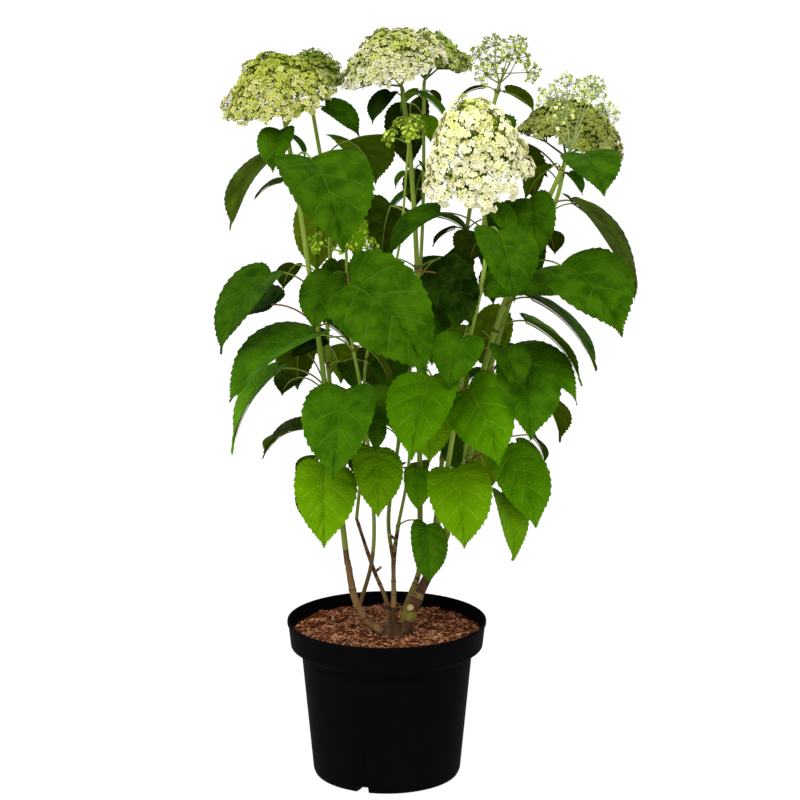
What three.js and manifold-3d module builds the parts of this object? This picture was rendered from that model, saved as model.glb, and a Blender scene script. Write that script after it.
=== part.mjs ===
// A smooth hydrangea in flower, growing in a round black nursery pot.
//
// Millimetres, +Z up, the front is -Y. The origin is the centre of the pot's flat underside.
// The pot holds the soil, and the soil carries a short root crown. Five woody canes rise from the
// crown, and green shoots grow on from the canes. Each shoot is one mass of foliage: its stem, with
// opposite pairs of leaves on long stalks. Most shoots end in a flower head of their own.
//
// A bearing is a compass direction seen from above: 0 faces the front (-Y), 90 the right (+X).
// A pitch is an angle below the level, so a stalk that climbs has a negative pitch.

import * as THREE from "three";
import { mergeVertices } from "three/addons/utils/BufferGeometryUtils.js";
import Module from "manifold-3d";

const wasm = await Module();
wasm.setup();

// ---------------------------------------------------------------- driving dimensions

const GAP = 0.3; // between pieces that touch

const POT = {
  height: 182,
  rimRadius: 113,
  collarHeight: 30, // the wide band under the rim
  chamfer: 7, // from the collar's foot in to the body
  bodyRadius: 97, // under the collar
  footRadius: 84,
  wall: 2.2,
  floor: 3,
  footRound: 7,
  sides: 24,
};

const DRAIN = { count: 3, first: 340, width: 16, height: 9 }; // notches in the foot's edge

const SOIL = { edge: 167, middle: 172, bumps: 2.2, rings: [0.3, 0.65, 1] };

const CROWN = { x: 9, y: -25, radius: 19, height: 13, sides: 10 };

// A leaf's half outline and the midrib point that each edge point's vein starts from, for a blade
// one long and one wide: [along, across, vein root]. The first edge points reach back behind the
// stalk, which makes the heart-shaped base.
const LEAF_ROWS = [
  [-0.05, 0.27, 0.06],
  [0.13, 0.47, 0.06],
  [0.45, 0.47, 0.46],
  [0.78, 0.27, 0.46],
];

const LEAF = {
  width: 0.78, // share of the blade's length
  widthSpread: 0.05,
  thickness: 0.016,
  fold: 12, // degrees that each half is raised about the midrib
  foldSpread: 5,
  pitch: [24, 74], // at the blade's base and at its tip
  free: [9, 13, 12], // spread of the hang, roll and swing of a leaf that isn't given its own
};

const STALK = {
  share: 0.56, // share of the blade's length
  bractShare: 0.25,
  bractLength: 56, // blades up to this long sit close to the stem
  radius: 1.2,
  pitch: [-48, 8],
  pitchSpread: 7,
  steps: 3,
  shortest: 50, // of the stalks that take all their steps
  rooting: 0.1, // how far the stalk runs on into the blade, as a share of its length
};

// Room that a leaf needs: half the clearance, at the points that stand for each piece.
const ROOM = { blade: 3.1, stalk: 2.4, stem: 2.2, rows: 17, columns: 4, ownStem: 14, cell: 16 };

// Turned and let down by so many degrees, in the order that a leaf tries them.
const TRIES = [0, 4, 9, 15, 24, 36, 52].flatMap((turn) =>
  [0, 6, -6, 12, -12].flatMap((sag) => (turn ? [[turn, sag], [-turn, sag]] : [[0, sag]])),
);

const [CANE_SIDES, CANE_STEPS] = [6, 6];
const [SHOOT_SIDES, SHOOT_STEPS] = [4, 7];

// Woody canes from the root crown: [x, y, z] points from the foot to the top.
const CANES = {
  cane_left: {
    radius: [4.8, 3.7],
    path: [[-4, -27, 174], [-22, -27, 187], [-36, -26, 215], [-44, -27, 258]],
  },
  cane_inner: {
    radius: [2.9, 1.9],
    path: [[1, -16, 174], [0, -13, 205], [-16, -6, 245], [-34, -1, 300]],
  },
  cane_centre: {
    radius: [3.4, 2.2],
    path: [[8, -26, 176], [8, -20, 215], [8, -12, 255], [13, -6, 292]],
  },
  cane_upright: {
    radius: [3.6, 3.1],
    path: [[17, -17, 174], [24, -8, 205], [35, -3, 232], [38, 0, 252]],
  },
  cane_right: {
    radius: [6.2, 4.6],
    path: [[20, -31, 174], [36, -22, 215], [54, -10, 250], [68, -1, 284]],
  },
};

// Shoots: path points from the cane up, and opposite leaf pairs as [height, leaf, leaf]. A leaf is
// [bearing, blade length, stalk length, hang, roll, swing]. Hang lets the blade down, roll turns it
// about its midrib, and swing turns it off its stalk's bearing. Without those it takes seeded ones,
// and without a stalk length the usual share. head is the flower head at the tip: its width and its
// rise above the fork, how far its edge curls under (0 flat, 1 down to the fork), its lean, and
// whether it is a dense dome or clusters on open rays.
const SHOOTS = {
  front_left: {
    cane: "cane_left",
    radius: [2.4, 1.7],
    path: [
      [-31, -25, 203], [-16, -32, 262], [-15, -37, 330],
      [-26, -46, 446], [-41, -54, 534], [-43, -60, 608],
    ],
    leaves: [
      [588, [44, 82, 28, -1, 4, -4], [320, 66, 24]],
      [556, [2, 145, 152, -13, 55, 45], [200, 50]],
      [503, [299, 120, 52, -18, 1, -3], [110, 56]],
      [449, [344, 103, 64, 3, 2, 3], [359, 65, 20, -26, 19, 36]],
      [383, [13, 75, 30, 15, -17, -5], [190, 50]],
    ],
    head: { width: 72, rise: 38, curl: 0.8, lean: [-0.1, -0.35], clusters: 6, dense: false },
  },
  right_front: {
    cane: "cane_right",
    radius: [3.1, 2.3],
    path: [
      [50, -16, 242], [59, -31, 311], [73, -39, 402],
      [88, -50, 501], [108, -58, 610], [101, -50, 698],
    ],
    leaves: [
      [660, [30, 48]],
      [628, [9, 90, 73, -4, -8, 5], [192, 69, 8, -12, 10, 6]],
      [570, [83, 80, 8, -45, 23, 7], [300, 50]],
      [516, [350, 70, 40], [160, 60]],
      [452, [16, 97, 35, -3, 46, 13], [230, 66]],
      [364, [14, 92, 36, 5, 6, -3], [200, 60]],
    ],
    head: { width: 120, rise: 86, curl: 1.2, lean: [-0.17, -0.55], dense: true },
  },
  far_left: {
    cane: "cane_left",
    radius: [3.3, 2.4],
    path: [[-44, -27, 254], [-59, -31, 386], [-80, -31, 555], [-96, -26, 666], [-111, -22, 755]],
    leaves: [
      [734, [349, 55, 37, -4, 7, 0], [60, 28]],
      [702, [305, 92, 32, 5, 10, -2], [15, 137, 93, -13, 1, 4]],
      [676, [227, 37, 26, -15, -9, 34], [110, 50]],
      [566, [300, 105, 58, 1, -1, 4], [75, 60]],
      [524, [239, 94, 66, -19, -24, -8], [100, 56]],
      [458, [290, 107, 60, 8, 11, 4], [208, 68, 80, 9, -17, -25]],
      [404, [250, 62], [40, 40]],
      [356, [346, 96, 53, 2, -11, 13], [170, 70]],
    ],
    head: { width: 124, rise: 62, curl: 0.95, lean: [-0.2, -0.2], dense: true },
  },
  right: {
    cane: "cane_right",
    radius: [3.9, 2.3],
    path: [
      [67, -2, 282], [91, -1, 401], [116, 0, 499],
      [141, -1, 574], [180, -9, 669], [199, -20, 714],
    ],
    leaves: [
      [698, [9, 98, 114, -26, 5, 5], [250, 50]],
      [650, [65, 127, 38, 4, -11, 1], [338, 69, 52, 14, 30, 34]],
      [576, [32, 129, 97, -24, 18, -1], [220, 60]],
      [540, [53, 106, 44, -5, -14, 14], [250, 56]],
      [514, [107, 98, 39, 0, 0, -11], [280, 50]],
      [456, [33, 93, 94, -2, -15, -28], [200, 60]],
      [366, [64, 89, 54, 10, 19, -9], [240, 56]],
      [312, [59, 76, 71, 22, -19, -24], [250, 50]],
    ],
    head: { width: 96, rise: 78, curl: 0.5, lean: [0.16, -0.05], clusters: 8, dense: false },
  },
  low_centre: {
    cane: "cane_centre",
    radius: [1.9, 1.4],
    path: [[12, -7, 288], [22, -22, 345], [27, -30, 400], [31, -38, 458]],
    leaves: [
      [454, [355, 80, 30], [23, 79, 15, 19, 12, 0]],
      [360, [26, 46, 22, 26, -18, -13], [210, 50]],
      [293, [40, 64, 52, 24, -26, -31], [230, 40]],
    ],
  },
  centre: {
    cane: "cane_upright",
    radius: [3.1, 2.4],
    path: [[38, 0, 250], [37, 0, 375], [35, 0, 560], [27, 0, 700], [18, 0, 781]],
    leaves: [
      [774, [307, 43, 20, -3, 1, 10], [67, 46, 17, -9, -7, 4]],
      [690, [150, 50, 30], [340, 34]],
      [634, [224, 76, 44, 16, 30, -26], [60, 44, 30]],
      [584, [100, 70, 44], [250, 66]],
      [520, [180, 70], [20, 54]],
      [454, [8, 104, 105, -5, 0, -26], [314, 75, 11, 40, 11, 19]],
      [356, [60, 84, 50], [220, 56]],
    ],
    head: { width: 114, rise: 58, curl: 0.85, lean: [-0.28, -0.1], dense: true },
  },
  far_right: {
    cane: "cane_right",
    radius: [3.1, 2.3],
    path: [
      [58, -7, 258], [70, 13, 290], [84, 22, 330], [103, 28, 400],
      [123, 36, 488], [148, 44, 565], [188, 56, 648], [199, 64, 694],
    ],
    leaves: [
      [680, [224, 108, 90, -8, -48, 3], [40, 50]],
      [640, [100, 60], [280, 50]],
      [600, [150, 70], [330, 50]],
      [482, [53, 98, 24, -19, 1, 6], [240, 60]],
      [456, [129, 92, 59, -15, -1, 15], [300, 40]],
      [416, [125, 86, 77, 4, 19, 11], [290, 50]],
      [356, [111, 76, 85, 4, 31, 29], [86, 61, 64, 9, 22, 19]],
    ],
    head: { width: 122, rise: 62, curl: 0.85, lean: [0.28, 0.1], dense: true },
  },
  left_rear: {
    cane: "cane_left",
    radius: [2.9, 2.1],
    path: [
      [-38, -24, 228], [-47, -13, 268], [-54, -2, 350],
      [-66, 22, 490], [-64, 42, 630], [-84, 56, 765],
    ],
    leaves: [
      [754, [68, 50, 17, -11, 27, 8], [280, 30]],
      [694, [141, 94, 55, -11, -1, 16], [320, 40]],
      [634, [219, 70, 21, 33, 27, -21], [20, 60]],
      [560, [172, 46, 44, 38, -44, -38], [14, 63, 66, 8, -55, -45]],
      [470, [230, 76, 50], [60, 60]],
      [386, [247, 71, 37, -19, -9, -8], [70, 56]],
    ],
    head: { width: 76, rise: 44, curl: 0.7, lean: [0.1, 0.1], dense: true },
  },
  right_centre: {
    cane: "cane_right",
    radius: [2.9, 2.1],
    path: [[46, -14, 232], [55, 8, 290], [68, 26, 420], [78, 32, 540], [100, 32, 690], [123, 30, 780]],
    leaves: [
      [776, [221, 32, 22, -23, 4, 43], [96, 39, 10, -13, -31, -3]],
      [694, [350, 52]],
      [622, [80, 70], [260, 56]],
      [546, [20, 50], [200, 60]],
      [490, [154, 95, 57, -15, -39, -2], [320, 54]],
      [430, [100, 60], [280, 56]],
      [364, [137, 79, 51, 10, -37, 10], [310, 50]],
    ],
    head: { width: 90, rise: 50, curl: 0.85, lean: [0.2, 0], clusters: 8, dense: false },
  },
  centre_rear: {
    cane: "cane_centre",
    radius: [2.3, 1.9],
    path: [[8, -14, 250], [2, 4, 300], [12, 24, 372], [30, 44, 491], [40, 62, 620], [42, 90, 778]],
    leaves: [
      [768, [100, 34], [280, 30]],
      [742, [205, 77, 40, 29, -22, -22], [20, 34]],
      [660, [110, 64], [290, 52]],
      [563, [148, 99, 58, 3, -22, 23], [320, 50]],
      [540, [67, 57, 23, 35, 23, -10], [220, 66]],
      [482, [120, 76], [300, 62]],
      [386, [250, 60], [80, 60]],
    ],
    head: { width: 92, rise: 48, curl: 0.7, lean: [0.25, 0.1], dense: true },
  },
  inner: {
    cane: "cane_inner",
    radius: [1.9, 1.3],
    path: [[-34, -1, 298], [-25, 8, 390], [-22, 10, 485], [12, -8, 600], [24, -30, 722]],
    leaves: [
      [560, [49, 82, 79, -15, 41, -15], [230, 50]],
      [480, [130, 66], [300, 56]],
      [398, [20, 60], [200, 58]],
    ],
    head: { width: 44, rise: 26, curl: 0.8, lean: [0, -0.2], clusters: 5, dense: false },
  },
};

const HEAD = {
  forkShare: 0.45, // where the first branches part, as a share of the way to the dome
  mainRays: 5,
  rayRadius: 1.1,
  twigRadius: 0.8,
  neck: 9, // of the stalk under the fork
  domeRings: [0.36, 0.7, 1],
  domeSides: 10,
  domeDepth: 11, // in the middle; the edge is thinner
  lumps: 3, // rise and fall of the dome's top
};

// ---------------------------------------------------------------- plain helpers

const DEG = Math.PI / 180;
const GOLDEN = 137.508; // degrees between neighbours in a seed-head spiral
const vec = (p) => new THREE.Vector3(...p);
const mix = (a, b, t) => a + (b - a) * t;

// A repeatable stream of numbers from 0 to 1.
function seeded(seed) {
  let state = (seed * 2654435761) % 4294967296;
  const next = () => {
    state = (state * 1664525 + 1013904223) % 4294967296;
    return state / 4294967296;
  };
  next();
  next();
  return next;
}

const either = (random, spread) => (random() * 2 - 1) * spread;

// A closed geometry's positions as a solid. Corners that coincide are merged first.
function solid(geometry) {
  const bare = new THREE.BufferGeometry();
  bare.setAttribute("position", geometry.getAttribute("position"));
  if (geometry.index) bare.setIndex(geometry.index);
  const merged = mergeVertices(bare, 1e-3);
  const corners = merged.index.array;
  const kept = [];
  for (let i = 0; i < corners.length; i += 3) {
    const [a, b, c] = [corners[i], corners[i + 1], corners[i + 2]];
    if (a !== b && b !== c && c !== a) kept.push(a, b, c);
  }
  const vertProperties = merged.getAttribute("position").array;
  return new wasm.Manifold(new wasm.Mesh({ numProp: 3, vertProperties, triVerts: new Uint32Array(kept) }));
}

// Joins solids pairwise, which keeps the number of large joins small.
function join(solids) {
  let layer = solids;
  while (layer.length > 1) {
    const next = [];
    for (let i = 0; i < layer.length; i += 2)
      next.push(i + 1 < layer.length ? layer[i].add(layer[i + 1]) : layer[i]);
    layer = next;
  }
  return layer[0];
}

// The largest body of a solid, without loose scraps.
const whole = (made) => made.decompose().reduce((a, b) => (a.volume() > b.volume() ? a : b));

function meshOf(name, made, material) {
  const { vertProperties, triVerts } = whole(made).getMesh();
  const geometry = new THREE.BufferGeometry();
  geometry.setAttribute("position", new THREE.BufferAttribute(new Float32Array(vertProperties), 3));
  geometry.setIndex(new THREE.BufferAttribute(new Uint32Array(triVerts), 1));
  geometry.computeVertexNormals();
  const mesh = new THREE.Mesh(geometry, material);
  mesh.name = name;
  return mesh;
}

// ---------------------------------------------------------------- paths and limbs

// A point on the smooth line through the given points, t from 0 to 1.
function pathPoint(points, t) {
  const spans = points.length - 1;
  const i = Math.min(spans - 1, Math.max(0, Math.floor(t * spans)));
  const s = t * spans - i;
  const at = (k, axis) => {
    if (k < 0) return 2 * points[0][axis] - points[1][axis];
    if (k > spans) return 2 * points[spans][axis] - points[spans - 1][axis];
    return points[k][axis];
  };
  return vec([0, 1, 2].map((axis) => {
    const [a, b, c, d] = [-1, 0, 1, 2].map((k) => at(i + k, axis));
    const [second, third] = [2 * a - 5 * b + 4 * c - d, 3 * b - a - 3 * c + d];
    return 0.5 * (2 * b + (c - a) * s + second * s * s + third * s ** 3);
  }));
}

// Where a climbing path reaches a height, as t.
function pathAtHeight(points, height) {
  let [low, high] = [0, 1];
  for (let i = 0; i < 40; i++) {
    const middle = (low + high) / 2;
    if (pathPoint(points, middle).z < height) low = middle;
    else high = middle;
  }
  return low;
}

// A tapering limb: a cylinder whose rings are moved onto a line. place(t) gives the line's point,
// and radius(t) its radius there.
function limb(place, radius, sides, steps) {
  const geometry = new THREE.CylinderGeometry(1, 1, 1, sides, steps);
  const position = geometry.getAttribute("position");
  const lean = place(1).sub(place(0)).normalize();
  const reference = Math.abs(lean.x) < 0.8 ? new THREE.Vector3(1, 0, 0) : new THREE.Vector3(0, 1, 0);
  for (let i = 0; i < position.count; i++) {
    const t = Math.round((position.getY(i) + 0.5) * steps) / steps;
    const step = 0.25 / steps;
    const along = place(Math.min(1, t + step)).sub(place(Math.max(0, t - step))).normalize();
    const across = reference.clone().addScaledVector(along, -reference.dot(along)).normalize();
    const over = across.clone().cross(along);
    const moved = place(t)
      .addScaledVector(across, position.getX(i) * radius(t))
      .addScaledVector(over, position.getZ(i) * radius(t));
    position.setXYZ(i, moved.x, moved.y, moved.z);
  }
  return solid(geometry);
}

// A limb along path points. grow makes it that much fatter, for cutting room around it.
function stemSolid({ path, radius }, sides, steps, grow = 0) {
  return limb((t) => pathPoint(path, t), (t) => mix(radius[0], radius[1], t) + grow, sides, steps);
}

// ---------------------------------------------------------------- pot, soil and root crown

function turned(profile, sides) {
  const points = profile.map(([x, y]) => new THREE.Vector2(x, y));
  return new THREE.LatheGeometry(points, sides).rotateX(Math.PI / 2);
}

// The inner face of the pot's wall at a height, which the soil follows.
function innerRadius(z) {
  const bodyTop = POT.height - POT.collarHeight - POT.chamfer;
  const body = mix(POT.footRadius, POT.bodyRadius, z / bodyTop) - POT.wall;
  const collar = POT.rimRadius - POT.wall - 2;
  if (z <= bodyTop) return body;
  return mix(body, collar, Math.min(1, (z - bodyTop) / POT.chamfer));
}

function pot() {
  const { height, rimRadius, collarHeight, chamfer, bodyRadius, footRadius, wall, floor, footRound } = POT;
  const collarFoot = height - collarHeight;
  const bodyTop = collarFoot - chamfer;
  const profile = [
    [0, 0],
    [footRadius - footRound, 0],
    [footRadius - footRound * 0.3, footRound * 0.3],
    [footRadius, footRound],
    [bodyRadius, bodyTop],
    [rimRadius - 4, collarFoot],
    [rimRadius, height - 4],
    [rimRadius, height],
    [rimRadius - wall, height],
    [rimRadius - wall - 2, collarFoot],
    [innerRadius(bodyTop), bodyTop],
    [innerRadius(footRound), footRound],
    [footRadius - footRound, floor],
    [0, floor],
  ];
  let made = solid(turned(profile, POT.sides));
  for (let i = 0; i < DRAIN.count; i++) {
    const bearing = (DRAIN.first + (i * 360) / DRAIN.count) * DEG;
    const notch = new THREE.BoxGeometry(DRAIN.width, 2 * footRound + 6, 2 * DRAIN.height)
      .translate(0, -footRadius, 0)
      .rotateZ(bearing);
    made = made.subtract(solid(notch));
  }
  return made;
}

// The soil's top: level under the crown, mounded in the middle and uneven around it.
function soilHeight(x, y) {
  const out = Math.hypot(x, y) / POT.rimRadius;
  const fromCrown = Math.hypot(x - CROWN.x, y - CROWN.y) / CROWN.radius;
  const uneven = Math.sin(x * 0.11 + 1.3) * Math.cos(y * 0.13) * Math.min(1, Math.max(0, fromCrown - 1.3));
  return mix(SOIL.middle, SOIL.edge, Math.max(0, out * 1.25 - 0.25)) + uneven * SOIL.bumps;
}

function soil() {
  const edge = innerRadius(SOIL.edge) - GAP;
  const bodyTop = POT.height - POT.collarHeight - POT.chamfer;
  const profile = [
    [0, POT.floor + GAP],
    [POT.footRadius - POT.footRound - GAP, POT.floor + GAP],
    [innerRadius(POT.footRound) - GAP, POT.footRound + GAP],
    [innerRadius(bodyTop) - GAP, bodyTop + GAP],
    [innerRadius(bodyTop + POT.chamfer) - 2 * GAP, bodyTop + POT.chamfer + GAP],
    ...SOIL.rings.map((share) => [edge * share, SOIL.edge]).reverse(),
    [0, SOIL.edge],
  ];
  const geometry = turned(profile, POT.sides);
  const position = geometry.getAttribute("position");
  for (let i = 0; i < position.count; i++)
    if (position.getZ(i) > SOIL.edge - 0.5)
      position.setZ(i, soilHeight(position.getX(i), position.getY(i)));
  return solid(geometry);
}

// A low flared knob on the soil, which the canes spring from. grow is room cut around it.
function rootCrown(grow = 0) {
  const { radius, height, sides } = CROWN;
  const foot = SOIL.middle + GAP;
  const profile = [
    [0, foot - grow],
    [radius + grow, foot - grow],
    [radius + grow, foot + grow],
    [radius * 0.8 + grow, foot + height * 0.25],
    [radius * 0.62 + grow, foot + height * 0.65],
    [radius * 0.36 + grow, foot + height * 0.95 + grow],
    [0, foot + height + grow],
  ];
  return solid(turned(profile, sides).translate(CROWN.x, CROWN.y, 0));
}

// ---------------------------------------------------------------- leaves

// The frame at a length along an arc that starts at start, sets out at a bearing, and whose pitch
// changes evenly from one end to the other.
function arcFrame({ start, bearing, pitches, length }, distance) {
  const [from, to] = pitches.map((p) => p * DEG);
  const bend = (to - from) / length;
  const pitch = from + bend * distance;
  const out = Math.abs(bend) < 1e-6 ? distance * Math.cos(from) : (Math.sin(pitch) - Math.sin(from)) / bend;
  const down = Math.abs(bend) < 1e-6 ? distance * Math.sin(from) : (Math.cos(from) - Math.cos(pitch)) / bend;
  const outward = vec([Math.sin(bearing * DEG), -Math.cos(bearing * DEG), 0]);
  const up = vec([0, 0, 1]);
  return {
    point: start.clone().addScaledVector(outward, out).addScaledVector(up, -down),
    side: vec([Math.cos(bearing * DEG), Math.sin(bearing * DEG), 0]),
    normal: outward.clone().multiplyScalar(Math.sin(pitch)).addScaledVector(up, Math.cos(pitch)),
  };
}

// A leaf by the rule of its kind: small seeded differences in rise, fold and width, and in hang, roll
// and swing where it isn't given its own.
function growLeaf(node, [bearing, length, reach, ...given], seed, nudge, sag) {
  const random = seeded(seed);
  const share = length <= STALK.bractLength ? STALK.bractShare : STALK.share;
  const rise = either(random, STALK.pitchSpread);
  const stalk = {
    start: node,
    bearing: bearing + nudge,
    pitches: [STALK.pitch[0] + rise, STALK.pitch[1] + rise],
    length: reach || length * share,
  };
  const free = LEAF.free.map((most) => either(random, most));
  const [hang, roll, swing] = given.length ? given : free;
  const blade = {
    start: arcFrame(stalk, stalk.length).point,
    bearing: bearing + nudge + swing,
    pitches: [LEAF.pitch[0] + hang + sag, LEAF.pitch[1] + hang + sag],
    length,
    width: length * (LEAF.width + either(random, LEAF.widthSpread)),
    roll,
    fold: LEAF.fold + either(random, LEAF.foldSpread),
  };
  return { stalk, blade };
}

// A point of the blade: along and across are shares of its length and width, lift is along its
// upper side's normal.
function bladePoint(blade, along, across, lift = 0) {
  const { point, side, normal } = arcFrame(blade, along * blade.length);
  const [turn, fold] = [blade.roll * DEG, blade.fold * DEG];
  const rolledSide = side.clone().multiplyScalar(Math.cos(turn)).addScaledVector(normal, Math.sin(turn));
  const rolledNormal = normal.multiplyScalar(Math.cos(turn)).addScaledVector(side, -Math.sin(turn));
  const reach = across * blade.width;
  return point
    .addScaledVector(rolledSide, reach * Math.cos(fold))
    .addScaledVector(rolledNormal, Math.abs(reach) * Math.sin(fold) + lift);
}

// Edge and vein root at a fraction of the way round the half outline, from the base to the tip.
function leafRow(q) {
  const rows = [[0, 0, 0], ...LEAF_ROWS, [1, 0, 1]];
  return pathPoint(rows, q);
}

// The points that stand for a leaf when it is tested for room.
function leafPoints({ stalk, blade }) {
  const points = [];
  for (let i = 2; i <= 8; i++)
    points.push({ at: arcFrame(stalk, (stalk.length * i) / 8).point, room: ROOM.stalk });
  for (let i = 0; i < ROOM.rows; i++) {
    const row = leafRow(i / (ROOM.rows - 1));
    for (let j = -ROOM.columns; j <= ROOM.columns; j++) {
      const v = j / ROOM.columns;
      const at = bladePoint(blade, mix(row.z, row.x, Math.abs(v)), row.y * v);
      points.push({ at, room: ROOM.blade });
    }
  }
  return points;
}

function leafSolid(blade) {
  const corners = [];
  const push = (...points) => points.forEach((p) => corners.push(p.x, p.y, p.z));
  const half = (blade.length * LEAF.thickness) / 2;
  const rows = LEAF_ROWS.filter((row, i) => blade.length > STALK.bractLength || i % 2 === 0);
  const base = bladePoint(blade, 0, 0);
  const tip = bladePoint(blade, 1, 0);
  for (const side of [1, -1])
    for (const lift of [half, -half]) {
      const facing = side * lift < 0;
      const face = (a, b, c) => (facing ? push(a, b, c) : push(a, c, b));
      const rim = rows.map(([x, y]) => bladePoint(blade, x, side * y));
      const rib = rows.map(([, , root]) => bladePoint(blade, root, 0, lift));
      face(base, rim[0], rib[0]);
      for (let i = 1; i < rim.length; i++) {
        face(rib[i - 1], rim[i - 1], rim[i]);
        face(rib[i - 1], rim[i], rib[i]);
      }
      face(rib.at(-1), rim.at(-1), tip);
    }
  const geometry = new THREE.BufferGeometry();
  geometry.setAttribute("position", new THREE.BufferAttribute(new Float32Array(corners), 3));
  return solid(geometry);
}

// The stalk, from the middle of the stem until its last part has run well into the blade.
function stalkSolid({ stalk, blade }) {
  const steps = stalk.length > STALK.shortest ? STALK.steps : STALK.steps - 1;
  const arc = (steps - 1) / steps;
  const end = arcFrame(stalk, stalk.length).point;
  const root = bladePoint(blade, STALK.rooting, 0);
  const place = (t) => {
    if (t <= arc) return arcFrame(stalk, (stalk.length * t) / arc).point;
    return end.clone().lerp(root, (t - arc) / (1 - arc));
  };
  return limb(place, (t) => STALK.radius * mix(1, 0.5, t), 3, steps);
}

// ---------------------------------------------------------------- flower heads

// The point of a head's dome at a share of its radius and a bearing round its axis.
function domePoint(head, out, bearing) {
  const ring = head.across
    .clone()
    .multiplyScalar(Math.cos(bearing * DEG))
    .addScaledVector(head.over, Math.sin(bearing * DEG));
  return head.fork
    .clone()
    .addScaledVector(ring, (out * head.width) / 2)
    .addScaledVector(head.axis, head.rise * (1 - head.curl * out * out));
}

// Points spread evenly over the dome in a spiral.
function spread(head, count) {
  return Array.from({ length: count }, (_, i) => domePoint(head, Math.sqrt((i + 0.5) / count), i * GOLDEN));
}

const nearest = (points, target) =>
  points.reduce((best, p) => (p.distanceTo(target) < best.distanceTo(target) ? p : best));

function headOf(shoot) {
  const axis = vec([...shoot.head.lean, 1]).normalize();
  const across = vec([1, 0, 0]).addScaledVector(axis, -axis.x).normalize();
  const over = axis.clone().cross(across);
  const fork = pathPoint(shoot.path, 1).addScaledVector(axis, HEAD.neck);
  return { ...shoot.head, axis, across, over, fork };
}

// The stalk under a head: it carries the shoot's line on and bends into the head's axis.
function neckSolid(shoot, fork) {
  const tip = pathPoint(shoot.path, 1);
  const along = tip.clone().sub(pathPoint(shoot.path, 0.97)).normalize();
  const start = tip.clone().addScaledVector(along, 1.7 * GAP);
  const bend = tip.clone().addScaledVector(along, HEAD.neck * 0.6);
  const place = (t) => start.clone().lerp(bend, t).lerp(bend.clone().lerp(fork, t), t);
  return limb(place, () => shoot.radius[1], SHOOT_SIDES, 2);
}

const straight = (from, to, radius) => limb((t) => from.clone().lerp(to, t), () => radius, 3, 1);

// A dense dome: a lumpy cap that is thinner at its ragged edge.
function domeSolid(head, phase) {
  const height = (out) => head.rise * (1 - head.curl * out * out);
  const rings = HEAD.domeRings;
  const profile = [
    [0, height(0) - HEAD.domeDepth],
    ...rings.map((out) => [(out * head.width) / 2 - 3, height(out) - HEAD.domeDepth * (1 - out * 0.6)]),
    ...rings.map((out) => [(out * head.width) / 2, height(out)]).reverse(),
    [0, height(0)],
  ];
  const geometry = turned(profile, HEAD.domeSides);
  const position = geometry.getAttribute("position");
  for (let i = 0; i < position.count; i++) {
    const [x, y] = [position.getX(i), position.getY(i)];
    const out = (Math.hypot(x, y) * 2) / head.width;
    const around = Math.atan2(y, x);
    const lump = Math.sin(4 * around + 8 * out + phase) + Math.sin(7 * around - 5 * out + 2 * phase);
    const swell = 1 + (lump * HEAD.lumps * out) / head.width;
    position.setXYZ(i, x * swell, y * swell, position.getZ(i) + (lump * HEAD.lumps) / 2);
  }
  const frame = new THREE.Matrix4().makeBasis(head.across, head.over, head.axis).setPosition(head.fork);
  return solid(geometry.applyMatrix4(frame));
}

// A cluster of florets, as a small button that faces out of the dome.
function clusterSolid(at, outward, radius) {
  const button = new THREE.OctahedronGeometry(radius, 0).scale(1, 1, 0.6);
  const turn = new THREE.Quaternion().setFromUnitVectors(new THREE.Vector3(0, 0, 1), outward);
  return solid(button.applyQuaternion(turn).translate(at.x, at.y, at.z));
}

function headSolid(shoot, seed) {
  const head = headOf(shoot);
  const random = seeded(seed);
  const under = head.fork.clone().addScaledVector(head.axis, -2);
  const pieces = [neckSolid(shoot, head.fork)];
  const forks = spread(head, HEAD.mainRays).map((p) => head.fork.clone().lerp(p, HEAD.forkShare));
  if (head.dense) {
    pieces.push(domeSolid(head, seed));
    const reach = 0.93 / HEAD.forkShare;
    for (const fork of forks) pieces.push(straight(under, under.clone().lerp(fork, reach), HEAD.rayRadius));
    return join(pieces);
  }
  for (const fork of forks) pieces.push(straight(under, fork, HEAD.rayRadius));
  const size = Math.sqrt((Math.PI * head.width * head.width) / 4 / head.clusters) * 0.42;
  for (const target of spread(head, head.clusters)) {
    const outward = target.clone().sub(head.fork).normalize();
    const root = nearest(forks, target).clone().lerp(under, 0.12);
    pieces.push(straight(root, target, HEAD.twigRadius));
    pieces.push(clusterSolid(target, outward, size * (0.85 + 0.3 * random())));
  }
  return join(pieces);
}

// ---------------------------------------------------------------- the shrub

// Limbs and heads take their room first, then each leaf takes the first place that is clear. The
// points that stand for the pieces are kept in cells of space, to find the near ones quickly.
const cells = new Map();
const cellOf = (value) => Math.floor(value / ROOM.cell);

function take(owner, at, room) {
  const key = [at.x, at.y, at.z].map(cellOf).join();
  if (!cells.has(key)) cells.set(key, []);
  cells.get(key).push({ owner, at, room });
}

function takeLimbRoom(owner, { path, radius }) {
  const steps = (path.length - 1) * 12;
  for (let i = 0; i <= steps; i++)
    take(owner, pathPoint(path, i / steps), mix(radius[0], radius[1], i / steps) + ROOM.stem);
}

function takeHeadRoom(owner, shoot) {
  const head = headOf(shoot);
  for (let bearing = 0; bearing < 360; bearing += 10) take(owner, domePoint(head, 1, bearing), 7);
  for (const at of spread(head, 90)) take(owner, at, 7);
  for (const at of spread(head, 60)) take(owner, head.fork.clone().lerp(at, 0.86), 6);
  for (const at of spread(head, 24)) take(owner, head.fork.clone().lerp(at, 0.55), 6);
}

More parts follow.
